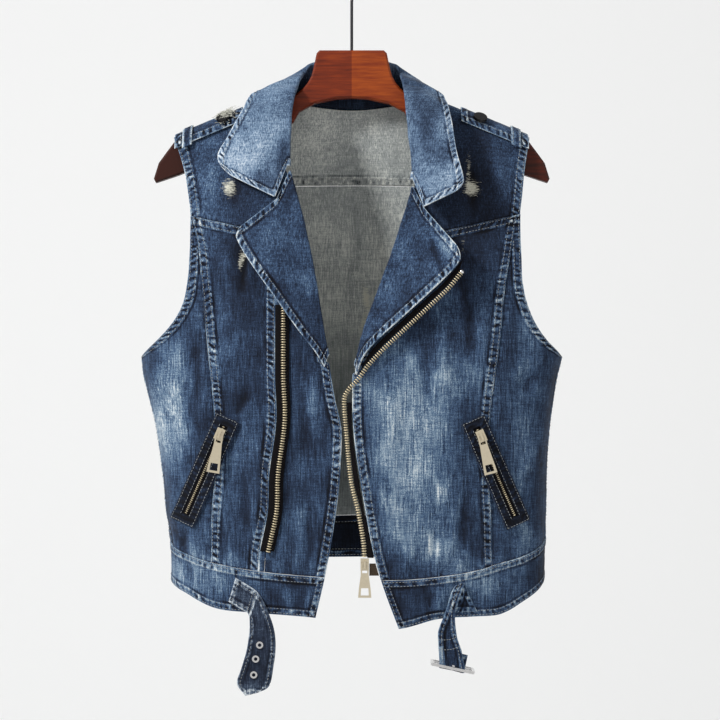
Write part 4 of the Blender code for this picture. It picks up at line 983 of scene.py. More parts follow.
FINISHES = {
    "zip_slider": NICKEL, "zip_pull": NICKEL, "pocket_slider_l": NICKEL, "pocket_slider_r": NICKEL,
    "pocket_pull_l": NICKEL, "pocket_pull_r": NICKEL, "zip_box": OLD_SHADED_BRASS,
    "epaulet_button_l": DARK_METAL, "epaulet_button_r": DARK_METAL,
    "eyelet_1": SILVER, "eyelet_2": SILVER, "eyelet_3": SILVER,
    "buckle_frame": SILVER, "buckle_prong": SILVER,
    "hanger_wood": WOOD, "hanger_hook": DARK_METAL,
}


# Creases on the front and behind: both ends, the bow of the line between them, half width and rise
CREASES = table(
    "x1 z1 x2 z2 bow half rise",
    (-108, -296, -112, -352, 3, 4, -1.8),
    (-100, -300, -102, -348, -2, 4, 1.2),
    (-124, -300, -132, -340, 3, 5, 0.9),
    (-157, -396, -158, -470, 2, 4, -1.6),
    (-168, -380, -172, -450, -3, 5, 1.2),
    (-190, -430, -172, -462, 3, 6, 1.3),
    (-196, -452, -180, -500, 3, 6, -1.2),
    (-104, -440, -122, -480, 4, 5, -1.3),
    (-98, -452, -112, -500, -3, 6, 0.9),
    (-112, -520, -106, -600, 3, 5, -1.0),
    (-96, -540, -94, -610, -2, 5, 0.9),
    (-52, -440, -48, -520, 3, 6, -1.1),
    (-38, -420, -34, -500, -2, 6, 1.1),
    (-55, -540, -50, -612, 2, 5, 1.1),
    (-40, -560, -40, -622, -2, 4, -1.0),
    (-140, -212, -150, -262, 3, 6, 1.0),
    (-112, -226, -118, -268, -3, 6, -1.2),
    (148, -206, 158, -258, -3, 6, 1.1),
    (118, -215, 122, -268, 3, 5, -1.6),
    (108, -330, 118, -410, 4, 6, -1.7),
    (92, -372, 98, -452, -4, 8, 1.5),
    (70, -398, 74, -470, 3, 7, -1.1),
    (130, -370, 128, -440, 3, 5, 1.1),
    (40, -440, 36, -520, 3, 8, 1.0),
    (118, -540, 112, -612, -3, 5, -1.2),
    (104, -556, 96, -622, 3, 5, 1.1),
    (84, -580, 78, -628, 2, 4, -1.0),
    (60, -586, 54, -630, 2, 5, 0.9),
    (160, -440, 172, -410, -3, 6, 1.2),
    (176, -452, 190, -430, 3, 6, -1.3),
    (184, -500, 168, -540, 3, 6, 1.2),
    (172, -560, 162, -604, -3, 5, -1.1),
    (-176, -560, -168, -606, 3, 5, -1.2),
    (-160, -572, -154, -612, 2, 4, 1.0),
)
BACK_CREASES = table(
    "x1 z1 x2 z2 bow half rise",
    (-150, -430, -120, -520, 8, 9, 1.8),
    (150, -440, 118, -530, -8, 9, 1.7),
    (-60, -300, -72, -420, 6, 9, 1.2),
    (70, -320, 58, -450, -6, 9, -1.2),
    (-20, -470, -30, -570, 4, 7, 1.2),
    (40, -480, 52, -572, -4, 7, 1.1),
    (-110, -540, -100, -578, 3, 5, -1.1),
    (96, -536, 100, -578, 3, 5, -1.1),
    (0, -250, 6, -330, 3, 8, -0.9),
    (-140, -260, -150, -330, 3, 7, 1.1),
    (142, -262, 148, -340, -3, 7, -1.1),
    (-176, -430, -150, -452, 3, 6, 1.3),
    (176, -430, 150, -455, -3, 6, 1.3),
)
BAND_CREASES = table(
    "x1 z1 x2 z2 bow half rise",
    (-170, -618, -160, -648, 2, 5, -1.0),
    (-140, -622, -128, -655, 2, 5, 1.1),
    (-84, -640, -92, -666, 3, 5, -1.3),
    (-68, -642, -60, -668, 3, 5, 1.3),
    (-50, -650, -58, -670, 2, 4, -1.0),
    (-40, -640, -44, -666, 2, 5, 1.2),
    (52, -648, 60, -676, 3, 5, 1.2),
    (70, -642, 78, -668, 3, 4, -1.3),
    (88, -648, 84, -672, 2, 4, 1.0),
    (140, -622, 152, -650, 3, 6, -1.0),
    (165, -610, 172, -640, 3, 6, 1.0),
)
# Faded patches on the front, and a few darker ones that are painted shade: place, half sizes, lean in degrees
# and strength
FADES_AND_SHADE = table(
    "x z wide tall lean amount",
    (-186, -484, 22, 50, -6, 0.36),
    (-174, -426, 16, 30, 6, 0.10),
    (58, -505, 40, 86, -4, 0.30),
    (70, -440, 60, 50, 0, 0.10),
    (86, -548, 3, 12, 0, 0.3),
    (93, -549, 3, 11, 0, 0.28),
    (79, -604, 3, 12, 2, 0.3),
    (86, -607, 3, 10, 0, 0.26),
    (31, -556, 2.5, 11, 0, 0.26),
    (37, -560, 2.5, 9, 0, 0.2),
    (-105, -400, 30, 90, 0, -0.10),
    (-45, -480, 26, 110, 4, -0.06),
    (175, -420, 18, 80, 0, 0.10),
    (172, -600, 18, 30, 0, 0.12),
    (-150, -630, 40, 22, 0, 0.28),
    (-186, -404, 12, 20, 0, 0.10),
    (60, -650, 30, 22, 0, -0.14),
    (140, -632, 30, 18, 0, 0.14),
    (46, -566, 9, 10, 0, 0.12),
    (68, -598, 42, 34, 0, 0.12),
    (-120, -400, 24, 60, 0, 0.08),
    (-45, -500, 16, 70, 4, 0.08),
    (-120, -560, 26, 40, 0, 0.06),
    (170, -520, 14, 60, 6, 0.10),
    # The next three rows are painted shade: under the right lapel and collar, and in the crease below the
    # left yoke
    (120, -300, 22, 40, 0, -0.10),
    (118, -240, 34, 60, 0, -0.16),
    (-108, -330, 16, 50, 0, -0.14),
    (-150, -222, 24, 34, 0, 0.05),
    (110, -640, 40, 18, 0, 0.12),
    (-60, -655, 34, 18, 0, -0.05),
)
# Faded patches behind, and one darker patch low in the middle that is painted shade, on the inside and the
# outside alike
BACK_FADES_AND_SHADE = table(
    "x z wide tall lean amount",
    (-60, -360, 60, 80, 6, 0.14),
    (70, -370, 60, 85, -6, 0.14),
    # Painted shade: the middle of the lower back darker, as if the closing fronts shaded it
    (0, -505, 130, 110, 0, -0.25),
    (-165, -480, 22, 60, 4, 0.14),
    (165, -480, 22, 60, -4, 0.14),
)
# Frayed places on the front
FRAYS = table(
    "x z wide tall lean amount",
    (-124, -243, 6.5, 9, 0, 1.0),
    (-111, -318, 2.6, 9, 4, 0.9),
    (121.5, -243, 7.5, 8, 0, 1.1),
    (118.5, -222, 2.5, 18, 4, 0.55),
    (-107, -308, 3, 8, 0, 0.7),
    (112, -302, 2, 10, 5, 0.4),
)


def edges(left, right, top, bottom):
    """The kind of margin along each edge of a piece."""
    return {"left": left, "right": right, "top": top, "bottom": bottom}


def side_edges(side, outer, inner, top, bottom):
    """The same for a front piece, by its outer and inner edges."""
    return edges(*((outer, inner) if side < 0 else (inner, outer)), top, bottom)


def edge_stations(width, ends, fine=0.85, coarse=3.0):
    """Shares of a width, close together within a margin at either end."""
    left, right = (np.concatenate([[0, 0.35], np.arange(1.0, e, fine)]) if e else np.array([0.0, 0.5])
                   for e in (11.6 * float(e) if isinstance(e, bool) else e for e in ends))
    if width < left[-1] + right[-1] + coarse:
        return np.linspace(0, 1, max(int(width / 1.4), 8))
    count = max(int((width - left[-1] - right[-1]) / coarse), 2) + 1
    inside = np.linspace(left[-1], width - right[-1], count)
    return np.concatenate([left, inside[1:-1], (width - right)[::-1]]) / width


def margin_reach(kind):
    """How far in from an edge its margin needs a close grid."""
    row = MARGINS[kind]
    return row["wide"] + row.get("shift", 0.0) + 2.8 if row["wide"] else 0.0


def fades_and_painted_shade(points):
    # Fading in front and behind, with painted shade in some of the patches
    return spots(points, FADES_AND_SHADE) + spots(points, BACK_FADES_AND_SHADE, behind=True)


def panel_cloth(name, lines, rows, kinds, creases, behind=False, extra=None, **more):
    """A panel between two lines of angles; rows gives the heights at the angles of one line down it."""
    left, right = lines
    middle = (left + right) / 2
    heights = rows(middle)
    per_degree = speed(around(middle), heights)
    across = skin(around(left + (right - left) * np.linspace(0, 1, 41)[:, None]), heights)
    width = float(np.linalg.norm(np.diff(across, axis=0), axis=-1).sum(0).max())
    share = edge_stations(width, [margin_reach(kinds[edge]) for edge in ("left", "right")])
    half = GAP / 2
    angle = left[None] + (right - left)[None] * share[:, None]
    angle = np.clip(angle, left + half / per_degree, right - half / per_degree)
    z = np.stack([rows(angle[i]) for i in range(len(share))])
    z[:, 0] -= half
    z[:, -1] += half
    near = around(angle)
    base, out = skin(near, z), facing(near, z)
    relief = crease_relief(base, creases, behind) if creases is not None else 0.0
    if extra is not None:
        relief = relief + extra(base)
    if not behind:
        relief = relief * calm(base)
    fray = spots(base, BACK_FRAYS, behind=True) if behind else spots(base, FRAYS)
    return garment(name, base, out, kinds, relief=relief, fade=fades_and_painted_shade(base), fray=fray, **more)


def calm(points):
    """0 close to pockets, zips and straps, so that nothing there sinks into the cloth, and 1 elsewhere."""
    keep = np.ones(points.shape[:-1])
    for row in POCKETS.values():
        lean = math.radians(row["lean"])
        d = points[..., [0, 2]] - np.array(row["middle"])
        p = d @ np.array([math.sin(lean), math.cos(lean)])
        q = d @ np.array([math.cos(lean), -math.sin(lean)])
        far = np.maximum(np.abs(p) - WELT_HALF, np.abs(q) - WELT_WIDE)
        keep = np.minimum(keep, smooth((far - 1) / 10))
    z = points[..., 2]
    beside = np.abs(points[..., 0] - at_height(ZIP_L, "x", z))
    along = (z < ZIP_L["height"][0] + 10) & (z > ZIP_L["height"][-1] - 10)
    keep = np.minimum(keep, np.where(along, smooth((beside - 8) / 8), 1.0))
    for rows in (STRAP_L, STRAP_R):
        x, z = rows["left_x"][1:3].mean(), rows["left_z"][0:3].mean()
        keep = np.minimum(keep, smooth((np.hypot(points[..., 0] - x - 6, points[..., 2] - z - 8) - 14) / 12))
    return keep


def waist_puckers(points, angle, z):
    """Short gathers just above the waistband."""
    above = z - band_height(around(angle), "top")
    rope = waves(points * (1, 1, 0.25), 77, 22, 9, 8)
    return 0.7 * rope * hill(above - 9, 13) * (above > 0)


def level_shares():
    """Levels of the rows of a panel, from the yoke seam past the underarm to the waistband."""
    upper = edge_stations(ABOVE_ARM, (True, False), coarse=FINE_ALONG)
    lower = edge_stations(BELOW_ARM, (False, True), coarse=FINE_ALONG) + 1
    return np.concatenate([upper, lower[1:]])


def armhole_behind(side, rows, count):
    """Angles of an armhole's edge behind; rows gives the heights at the angles."""
    angle = np.full(count, side * 130.0)
    for _ in range(SETTLE_STEPS):
        angle = side * 180 - armhole_angle(side, rows(angle))
    return angle


def main_panels():
    """The panels under the yokes: two on each front, the overlap beside the zip, and the back."""
    levels = level_shares()
    rows = level_rows(levels)

    def gathers(base):
        angle = angle_of(base[..., 0], base[..., 2])
        return waist_puckers(base, angle, base[..., 2])

    for key, princess, inner in (("l", PRINCESS_L, ZIP_SEAM_L), ("r", PRINCESS_R, FRONT_R)):
        side = SIDES[key]
        edge = np.where(levels < 1, line_angle(side, np.minimum(levels, ABOVE_UNDERARM)), side * 90.0)
        seam, inside = line_angle(princess, levels), line_angle(inner, levels)
        inside = inside + side * roll_inset(key, levels) if key == "r" else inside
        kinds = side_edges(side, "hem", "tuck", "fell", "tuck")
        ends = (edge, seam) if side < 0 else (seam, edge)
        panel_cloth(f"side_front_{key}", ends, rows, kinds, CREASES, seed=11 + side, extra=gathers)
        ends = (seam, inside) if side < 0 else (inside, seam)
        kinds = side_edges(side, "fell", "zip_edge" if key == "l" else "edge", "fell", "tuck")
        panel_cloth(f"centre_front_{key}", ends, rows, kinds, CREASES, seed=21 + side, extra=gathers)
    front = line_angle(FRONT_L, levels) - roll_inset("l", levels)
    panel_cloth("overlap_front_l", (line_angle(ZIP_SEAM_L, levels), front), rows,
                edges("plain", "edge", "plain", "tuck"), CREASES, seed=31, extra=gathers)
    above = level_rows(np.minimum(levels, ABOVE_UNDERARM))
    right, left = (np.where(levels < 1, armhole_behind(side, above, len(levels)), side * 90.0)
                   for side in (1, -1))
    panel_cloth("panel_back", (right, left + 360), wrapped(levels), edges("hem", "hem", "tuck", "tuck"),
                BACK_CREASES, behind=True, seed=41)


LAPEL_FADES = table(
    "x z wide tall lean amount",
    (-85, -300, 12, 40, 30, 0.06),
    (70, -330, 14, 40, -30, 0.05),
    (-110, -291, 8, 8, 0, 0.18),
    (98, -306, 9, 14, -35, 0.3),
    (84, -312, 3, 16, -20, -0.16),
    (-60, -240, 6, 40, 14, -0.12),
)
COLLAR_FADES = table(
    "x z wide tall lean amount",
    (-100, -200, 26, 50, 20, 0.16),
    (-118, -222, 14, 26, 10, 0.14),
    (-70, -210, 5, 34, 10, -0.16),
    (-88, -236, 16, 8, 30, -0.14),
    (78, -190, 12, 34, -10, -0.16),
    (62, -130, 14, 30, -10, -0.14),
    (88, -226, 18, 18, 0, 0.12),
)
BACK_FRAYS = table(
    "x z wide tall lean amount",
    (15, -352, 5.0, 16, -8, 1.0),
    (12, -378, 3.0, 12, 8, 0.9),
)


SHOULDER_STEPS = np.array([0, 0.35, 0.9, 1.8, 3.0, 4.6, 6.6, 9.0])
YOKE_ROWS = 46


def yoke_levels(angle, neck):
    """Heights down a yoke: angle has one value for each row. neck says that the top follows the neck seam."""
    near = around(angle)
    x = skin(near, -300.0)[..., 0]
    inside = neck & (np.abs(x) < 70)
    top = np.where(inside, curve(x, NECK_BACK["x"], NECK_BACK["height"]), shoulder(x))
    down = top - yoke_height(near)
    part = np.linspace(0, 1, YOKE_ROWS + 1)[1:]
    last = SHOULDER_STEPS[-1]
    return top - np.concatenate([SHOULDER_STEPS, last + part * (down[len(SHOULDER_STEPS):] - last)])


def yokes():
    """Both front yokes and the one behind, which meet along the shoulders."""
    length = len(SHOULDER_STEPS) + YOKE_ROWS

    def rows(angle):
        return yoke_levels(angle, False)

    def neck_rows(angle):
        return yoke_levels(angle, True)

    for key, side in SIDES.items():
        edge, neck = np.full(length, side * 50.0), np.full(length, side * 18.0)
        for _ in range(SETTLE_STEPS):
            edge = armhole_angle(side, rows(edge))
            neck = seam_angle(FRONTS[key], rows(neck))
        z = rows(neck)
        turned = z < LAPELS[key]["roll_z"][0] + 12
        neck = neck + side * np.where(turned, ROLL_ROOM / speed(neck, z), 0.0)
        ends = (edge, neck) if side < 0 else (neck, edge)
        kinds = side_edges(side, "hem", "plain", "plain", "tuck")
        panel_cloth(f"yoke_front_{key}", ends, rows, kinds, CREASES, seed=61 + side)
    right, left = (armhole_behind(side, neck_rows, length) for side in (1, -1))
    panel_cloth("yoke_back", (right, left + 360), neck_rows, edges("hem", "hem", "plain", "fell"),
                BACK_CREASES, behind=True, seed=65)


def waistbands():
    """The waistband's three lengths. It is doubled, so denim's dark side shows inside too."""
    levels = 2 + edge_stations(BAND_TALL, (True, True), coarse=FINE_ALONG)
    rows = wrapped(levels)
    left, right = line_angle(FRONT_L, levels), line_angle(FRONT_R, levels)
    side = np.full(len(levels), 90.0)
    bands = (("waistband_front_l", (-side, left), "tuck", "band", BAND_CREASES, False),
             ("waistband_front_r", (right, side), "band", "tuck", BAND_CREASES, False),
             ("waistband_back", (side, -side + 360), "tuck", "tuck", None, True))
    for name, lines, at_left, at_right, creases, behind in bands:
        panel_cloth(name, lines, rows, edges(at_left, at_right, "band", "band"), creases, thick=BAND_THICK,
                    behind=behind, seed=70 + len(name), looks=(DENIM, DARK_DENIM))


def folded(name, points, visible, kinds, seed, thick=THIN, **more):
    """A piece whose middle surface is given; visible is 1 or -1, for the side of the grid that shows."""
    out = unit(np.cross(np.gradient(points, axis=1), np.gradient(points, axis=0))) * visible
    return garment(name, points - out * thick / 2, out, kinds, thick, seed=seed, **more)


def rounded(share, t, share_reach, t_reach):
    """Turns the square corner of a piece, at a share of 1 and a t of 0, into a round one."""
    p = np.clip(1 - (1 - share) / share_reach, 0, 1)
    q = np.clip(1 - t / t_reach, 0, 1)
    inside = (p > 0) & (q > 0)
    round_p, round_q = p * np.sqrt(1 - q * q / 2), q * np.sqrt(1 - p * p / 2)
    return (np.where(inside, 1 - share_reach * (1 - round_p), share),
            np.where(inside, t_reach * (1 - round_q), t))


def spread(t, *rows):
    """Grids of the rows' values, which run across, and of t, which runs down."""
    down = np.meshgrid(rows[0], t, indexing="ij")[1]
    return [np.meshgrid(row, t, indexing="ij")[0] for row in rows] + [down]


def lapels():
    """Both lapels: the fold along the roll line, and the part that lies on the front."""
    shares = edge_stations(LAPEL_WIDE, (False, True), coarse=2.0)[1:]
    arc_row = np.concatenate([FOLD_ARCS, np.full(len(shares), 90.0)])
    share_row = np.concatenate([np.zeros(len(FOLD_ARCS)), shares])
    for key, side in SIDES.items():
        arc, share, t = spread(edge_stations(LAPEL_LONG, (True, True), coarse=FINE_ALONG), arc_row, share_row)
        share, t = rounded(share, t, *LAPEL_CORNER)
        points = lapel_point(key, arc, share, t)
        folded(f"lapel_{key}", points, side, edges("plain", "turned", "turned", "turned"), 80 + side,
               fade=0.02 + spots(points, LAPEL_FADES))


def collar():
    """The stand, the fold and the fall in one sheet, both front corners round."""
    stands = np.linspace(0, 1, 13)[:-1]
    shares = edge_stations(COLLAR_WIDE, (False, True), coarse=1.7)[1:]
    stand_row = np.concatenate([stands, np.ones(len(FOLD_ARCS) + len(shares))])
    arc_row = np.concatenate([np.full(len(stands), -90.0), FOLD_ARCS, np.full(len(shares), 90.0)])
    share_row = np.concatenate([np.zeros(len(stands) + len(FOLD_ARCS)), shares])
    t = edge_stations(COLLAR_LONG, (True, True), coarse=FINE_ALONG)
    stand, arc, share, t = spread(t, stand_row, arc_row, share_row)
    share, t = rounded(share, t, *COLLAR_CORNER_L)
    share, t_back = rounded(share, 1 - t, *COLLAR_CORNER_R)
    points = collar_point(stand, arc, share, 1 - t_back)
    # The stand is darker towards the neck seam: painted shade inside the neck
    folded("collar", points, 1, edges("plain", "turned", "turned", "turned"), 90,
           looks=(COLLAR_DENIM, COLLAR_DENIM), slot="denim_pale", fade=spots(points, COLLAR_FADES),
           dark=0.5 * (1 - stand))


def raised(place, first, second, low):
    """A surface at a height off the cloth, and its outward direction."""
    base = place(first, second, low)
    return base, unit(place(first, second, low + 1) - base)


def epaulets():
    """Both epaulets and the narrow loops that hold them down."""
    for key, side in SIDES.items():
        low = CLOTH + FELL + EPAULET_LIFT
        share = edge_stations(EPAULET_LONG, (True, True), coarse=2.0)
        x = side * (EPAULET_INNER + (EPAULET_OUTER - EPAULET_INNER) * share)
        across = EPAULET_HALF * (2 * edge_stations(EPAULET_WIDE, (True, True), coarse=1.6) - 1)
        base, out = raised(ridge_point, *np.meshgrid(np.sort(x), across[::-1], indexing="ij"), low + 0.2)
        garment(f"epaulet_{key}", base, out, edges("turned", "turned", "turned", "turned"), EPAULET_THICK,
                seed=95 + side, fade=0.03)
        x = side * np.linspace(*EPAULET_LOOP, 8)
        base, out = raised(ridge_point, *np.meshgrid(np.sort(x), np.linspace(19, -20, 40), indexing="ij"),
                           low + 2.6)
        garment(f"epaulet_loop_{key}", base, out, edges("loop", "loop", "plain", "plain"), EPAULET_THICK,
                seed=97 + side, fade=0.1, stands_for=False)


def teeth_rows(line, out, pitch):
    """Evenly spaced places along a line, with the direction beside it and the outward one."""
    length, read = line_reader(line)
    at = np.arange(pitch / 2, length, pitch)
    ahead, up = unit(read(at + 0.5, line) - read(at - 0.5, line)), unit(read(at, out))
    return list(zip(read(at, line), unit(np.cross(ahead, up)), up))


def metal_rows(name, rows, node, long=TEETH_WIDTH + 0.6, wide=1.7, high=2.2, look=None, slot="brass"):
    """A zip's teeth, each a small rounded block across the tape."""
    dress(make_mesh(name, *build_stitches(rows, long, wide, high), (look or BRASS,)), node, slot)


def tape(name, grid, out):
    """A woven zip tape in the place of its solid."""
    half, wear_and_shade = out * TAPE / 2, np.zeros((*grid.shape[:2], 3))
    made = shell(name + "_cloth", grid - half, grid + half, wear_and_shade, (TAPE_LOOK, TAPE_LOOK))
    dress(made, name, "tape")


def main_zip():
    """Both halves of the main zip, tape and teeth."""
    at = np.linspace(0, 1, len(ZIP_R["teeth_lift"]))
    t = np.linspace(0, 1, 160)
    edge_x, edge_z, edge_lift, teeth_x, teeth_z, lift = read_rows(ZIP_R, t)
    teeth = np.stack([teeth_x, teeth_z], -1)
    beside = unit(np.gradient(teeth, axis=0))[:, ::-1] * (1, -1) * (TEETH_WIDTH / 2 + 1.5 * GAP)
    edge = on_front(edge_x, edge_z, edge_lift)
    for name, part, way in (("zip_tape_r_top", t <= (at[5] + at[6]) / 2, 1),
                            ("zip_tape_r", t >= at[8] - 1e-9, -1)):
        near = teeth[part] + beside[part] * way
        side = on_front(near[:, 0], near[:, 1], lift[part])
        start = edge[part] + unit(side - edge[part]) * 1.2 * GAP
        share = np.linspace(0, 1, 7)[:, None, None]
        grid = start[None] + (side - start)[None] * share
        out = unit(np.cross(np.gradient(grid, axis=1), np.gradient(grid, axis=0)))
        tape(name, grid, out * (1 if way < 0 else -1))
    line, out = raised(on_front, teeth[:, 0], teeth[:, 1], lift)
    metal_rows("zip_teeth_right", teeth_rows(line, out, TEETH_PITCH), "zip_teeth_r")
    ahead = unit(line[3] - line[0])
    stop_rows = [(line[0] - ahead * 0.6, np.cross(ahead, unit(out[0])), unit(out[0]))]
    metal_rows("zip_top_stop", stop_rows, None, long=5.4, wide=4.2, high=3.0, look=SILVER, slot="silver")
    z = np.linspace(ZIP_L["height"][0], ZIP_L["height"][-1], 120)
    x = at_height(ZIP_L, "x", z)
    low = CLOTH + 2 * GAP
    beside = np.linspace(*LEFT_TAPE, 9)[:, None]
    grid, out = raised(on_front, x + beside, z + 0 * beside, low + TAPE / 2)
    tape("zip_tape_l", grid, out)
    line = on_front(x, z, low + TAPE + GAP + TEETH_HEIGHT / 2)
    metal_rows("zip_teeth_left", teeth_rows(line, out[4], TEETH_PITCH), "zip_teeth_l")


def past_slot(half, slot, beside, over):
    """Stations across a welt: so many on either side of its slot, and so many over it."""
    return np.concatenate([np.linspace(-half, -slot, beside), np.linspace(-slot, slot, over)[1:],
                           np.linspace(slot, half, beside)[1:]])


def pockets():
    """Slanted welt pockets: a puckered frame sewn twice round, with the zip in its slot."""
    for key, row in POCKETS.items():
        lean = math.radians(row["lean"])
        along = np.array([math.sin(lean), math.cos(lean)])
        beside = np.array([math.cos(lean), -math.sin(lean)])

        def place(p, q, out):
            spot = np.array(row["middle"]) + p[..., None] * along + q[..., None] * beside
            return on_front(spot[..., 0], spot[..., 1], out)

        ps, qs = past_slot(WELT_HALF, SLOT_HALF, 9, 90), past_slot(WELT_WIDE, SLOT_WIDE, 11, 5)
        welt(f"pocket_welt_{key}", place, ps, qs, 101 if key == "l" else 103)
        line = np.linspace(-SLOT_HALF + 1, SLOT_HALF - 1, 40)
        base = CLOTH + WELT_LIFT
        spot, out = raised(place, line, 0 * line, base + 1.6)
        metal_rows(f"pocket_teeth_{key}", teeth_rows(spot, out, POCKET_PITCH), f"pocket_zip_{key}", long=2.6,
                   wide=1.3, high=1.2)
        qs = np.linspace(-SLOT_WIDE + GAP, SLOT_WIDE - GAP, 5)
        p_grid, q_grid = np.meshgrid(np.linspace(-SLOT_HALF + GAP, SLOT_HALF - GAP, 50), qs, indexing="ij")
        grid, out = raised(place, p_grid, q_grid, base + 0.75)
        tape(f"pocket_zip_{key}", grid.swapaxes(0, 1)[:, ::-1], out.swapaxes(0, 1)[:, ::-1])


def welt(name, place, ps, qs, seed):
    """A welt as one closed frame round its slot."""
    p_grid, q_grid = np.meshgrid(ps, qs, indexing="ij")
    ring = np.maximum(np.abs(q_grid) - WELT_WIDE, np.abs(p_grid) - WELT_HALF)
    edge = -ring
    slot = np.maximum(np.abs(q_grid) - SLOT_WIDE, np.abs(p_grid) - SLOT_HALF)
    base, out = raised(place, p_grid, q_grid, CLOTH + WELT_LIFT + 0.8)
    wave = waves(base, seed, 30, 9, 6)
    rope = np.sin(2 * math.pi * (p_grid + 2.2 * wave) / 6.4)
    body = smooth(edge / 2.0) * smooth(slot / 1.8)
    height = 0.9 + 0.45 * body + 0.28 * rope * body + 0.1 * wave
    worn = 0.20 * hill(edge, 1.1) + 0.16 * hill(slot - 0.4, 0.8)
    fade = 0.17 + worn + 0.10 * rope * body + 0.05 * wave
    dark = 0.3 * hill(slot + 0.2, 0.8)
    full = np.ones((len(ps) - 1, len(qs) - 1, 1), bool)
    mid_p, mid_q = (ps[1:] + ps[:-1]) / 2, (qs[1:] + qs[:-1]) / 2
    hole = (np.abs(mid_p)[:, None] < SLOT_HALF) & (np.abs(mid_q)[None] < SLOT_WIDE)
    full[hole] = False
    grid = np.stack([base, base + out * height[..., None]], 2)
    points, faces = cells(grid, full)
    made = make_mesh(name + "_cloth", points, faces, (DARK_DENIM,))
    wear_and_shade = np.stack([fade, 0 * fade, dark], -1)
    keep_wear_and_shade(made, np.stack([wear_and_shade, wear_and_shade], 2).reshape(-1, 3)[cells_used(full)])
    dress(made, name, "denim_dark")
    outer = base + out * height[..., None]
    ring_of(outer, out, ps, qs, 1.6)
    for side in (-1, 1):
        k = int(np.argmin(np.abs(qs - side * (SLOT_WIDE + 1.4))))
        keep = np.abs(ps) < SLOT_HALF + 2
        sew(outer[keep, k], out[keep, k])


def ring_of(grid, out, ps, qs, off):
    """A rectangle of stitches at a distance inside the edge."""
    i, j = (int(np.argmin(np.abs(v - (v[0] + off)))) for v in (ps, qs))
    last_i, last_j = len(ps) - 1 - i, len(qs) - 1 - j
    down, across = slice(i, last_i + 1), slice(j, last_j + 1)
    for place in ((down, j), (down, last_j), (i, across), (last_i, across)):
        sew(grid[place], out[place], 0.6, 0.6)


def cells_used(full):
    """Numbers of the corners that the solid cells of a grid use."""
    shape = np.array(full.shape) + 1
    used = np.zeros(shape, bool)
    for i, j, k in np.argwhere(full):
        used[i:i + 2, j:j + 2, k:k + 2] = True
    return np.flatnonzero(used.ravel())


def cells(grid, full):
    """Points and outer faces of the solid cells of a grid of corners (across, down, through, 3)."""
    shape = np.array(grid.shape[:3])
    padded = np.zeros(shape + 1, bool)
    padded[1:-1, 1:-1, 1:-1] = full
    number = np.arange(shape.prod()).reshape(shape)
    used = cells_used(full)
    renumber = np.full(shape.prod(), -1)
    renumber[used] = np.arange(len(used))
    faces = []
    for axis, (p, q) in enumerate(((1, 2), (2, 0), (0, 1))):
        for i, j, k in np.argwhere(full):
            for way in (0, 1):
                beside = [i + 1, j + 1, k + 1]
                beside[axis] += 2 * way - 1
                if padded[tuple(beside)]:
                    continue
                ring = []
                for dp, dq in ((0, 0), (1, 0), (1, 1), (0, 1)):
                    at = np.array([i, j, k])
                    at[axis] += way
                    at[p] += dp
                    at[q] += dq
                    ring.append(int(renumber[number[tuple(at)]]))
                faces.append(ring if way else ring[::-1])
    return grid.reshape(-1, 3)[used], faces


def ribbon_grid(rows, columns, count):
    """Middle surface of a strap; below the hem it hangs straight down."""
    left_x, left_z, right_x, right_z, lift = read_rows(rows, np.linspace(0, 1, count))
    share = np.linspace(0, 1, columns)[:, None]
    x, z = left_x + (right_x - left_x) * share, left_z + (right_z - left_z) * share
    base = on_front(x, np.maximum(z, HANG_BELOW), lift)
    return np.stack([x, base[..., 1], z], -1)


STRAP_EDGES = edges("strap", "strap", "strap", "strap")


def left_strap():
    """The strap with the eyelets, sewn down in a small patch at the hem."""
    points = ribbon_grid(STRAP_L, 21, 80)
    z = points[..., 2]
    fade = 0.34 * smooth((STRAP_TIP_WORN - z) / 14) + 0.10 * smooth((z - STRAP_TOP_WORN) / 12)
    far = arcs_of(points)
    beside = np.minimum(np.minimum(far["left"], far["right"]), np.abs(far["top"] - PATCH_LONG))
    patch = 1 - smooth((far["top"] - PATCH_LONG) / 2)
    fade = fade + patch * (0.05 + 0.30 * hill(np.minimum(beside, far["top"]), 1.6))
    outer, out = folded("strap_l", points, 1, STRAP_EDGES, 111, thick=STRAP_THICK, fade=fade,
                        looks=(STRAP_DENIM, STRAP_DENIM), rests_on="waistband_front_l")[1:]
    for long in (PATCH_LONG - 1.5, PATCH_LONG - 5.0):
        cross_rows(outer, out, long, 2.5)


def right_strap():
    """The strap that goes round the buckle's bar and up behind it."""
    hanging = ribbon_grid(STRAP_R, 21, 60)
    tilt = math.radians(BUCKLE_TILT)
    axis = np.array([math.cos(tilt), 0.0, math.sin(tilt)])
    up = np.array([-math.sin(tilt), 0.0, math.cos(tilt)])
    out = np.array([0.0, -1.0, 0.0])
    bar_y = float(hanging[0, -1, 1]) + LOOP_RADIUS
    middle = np.array([BUCKLE_MIDDLE[0], bar_y, BUCKLE_MIDDLE[1]])
    reach = (np.linspace(0, 1, 21)[:, None] - 0.5) * 2 * LOOP_HALF
    arcs = np.radians(np.linspace(0, 180, 13))
    bar = middle + axis * reach
    loop = [bar + out * LOOP_RADIUS * math.cos(a) - up * LOOP_RADIUS * math.sin(a) for a in arcs]
    rise = [bar - out * LOOP_RADIUS + up * h for h in LOOP_RISE]
    grid = np.concatenate([hanging, np.stack(loop, 1), np.stack(rise, 1)], 1)
    outer, out = folded("strap_r", grid, 1, STRAP_EDGES, 113, thick=STRAP_THICK, fade=0.02,
                        looks=(DENIM, DENIM), rests_on="waistband_front_r")[1:]
    end = arcs_of(hanging)["top"][:, -1].mean()
    for long in (end - 7.0, end + 3.0):
        cross_rows(outer, out, long, 0.8)


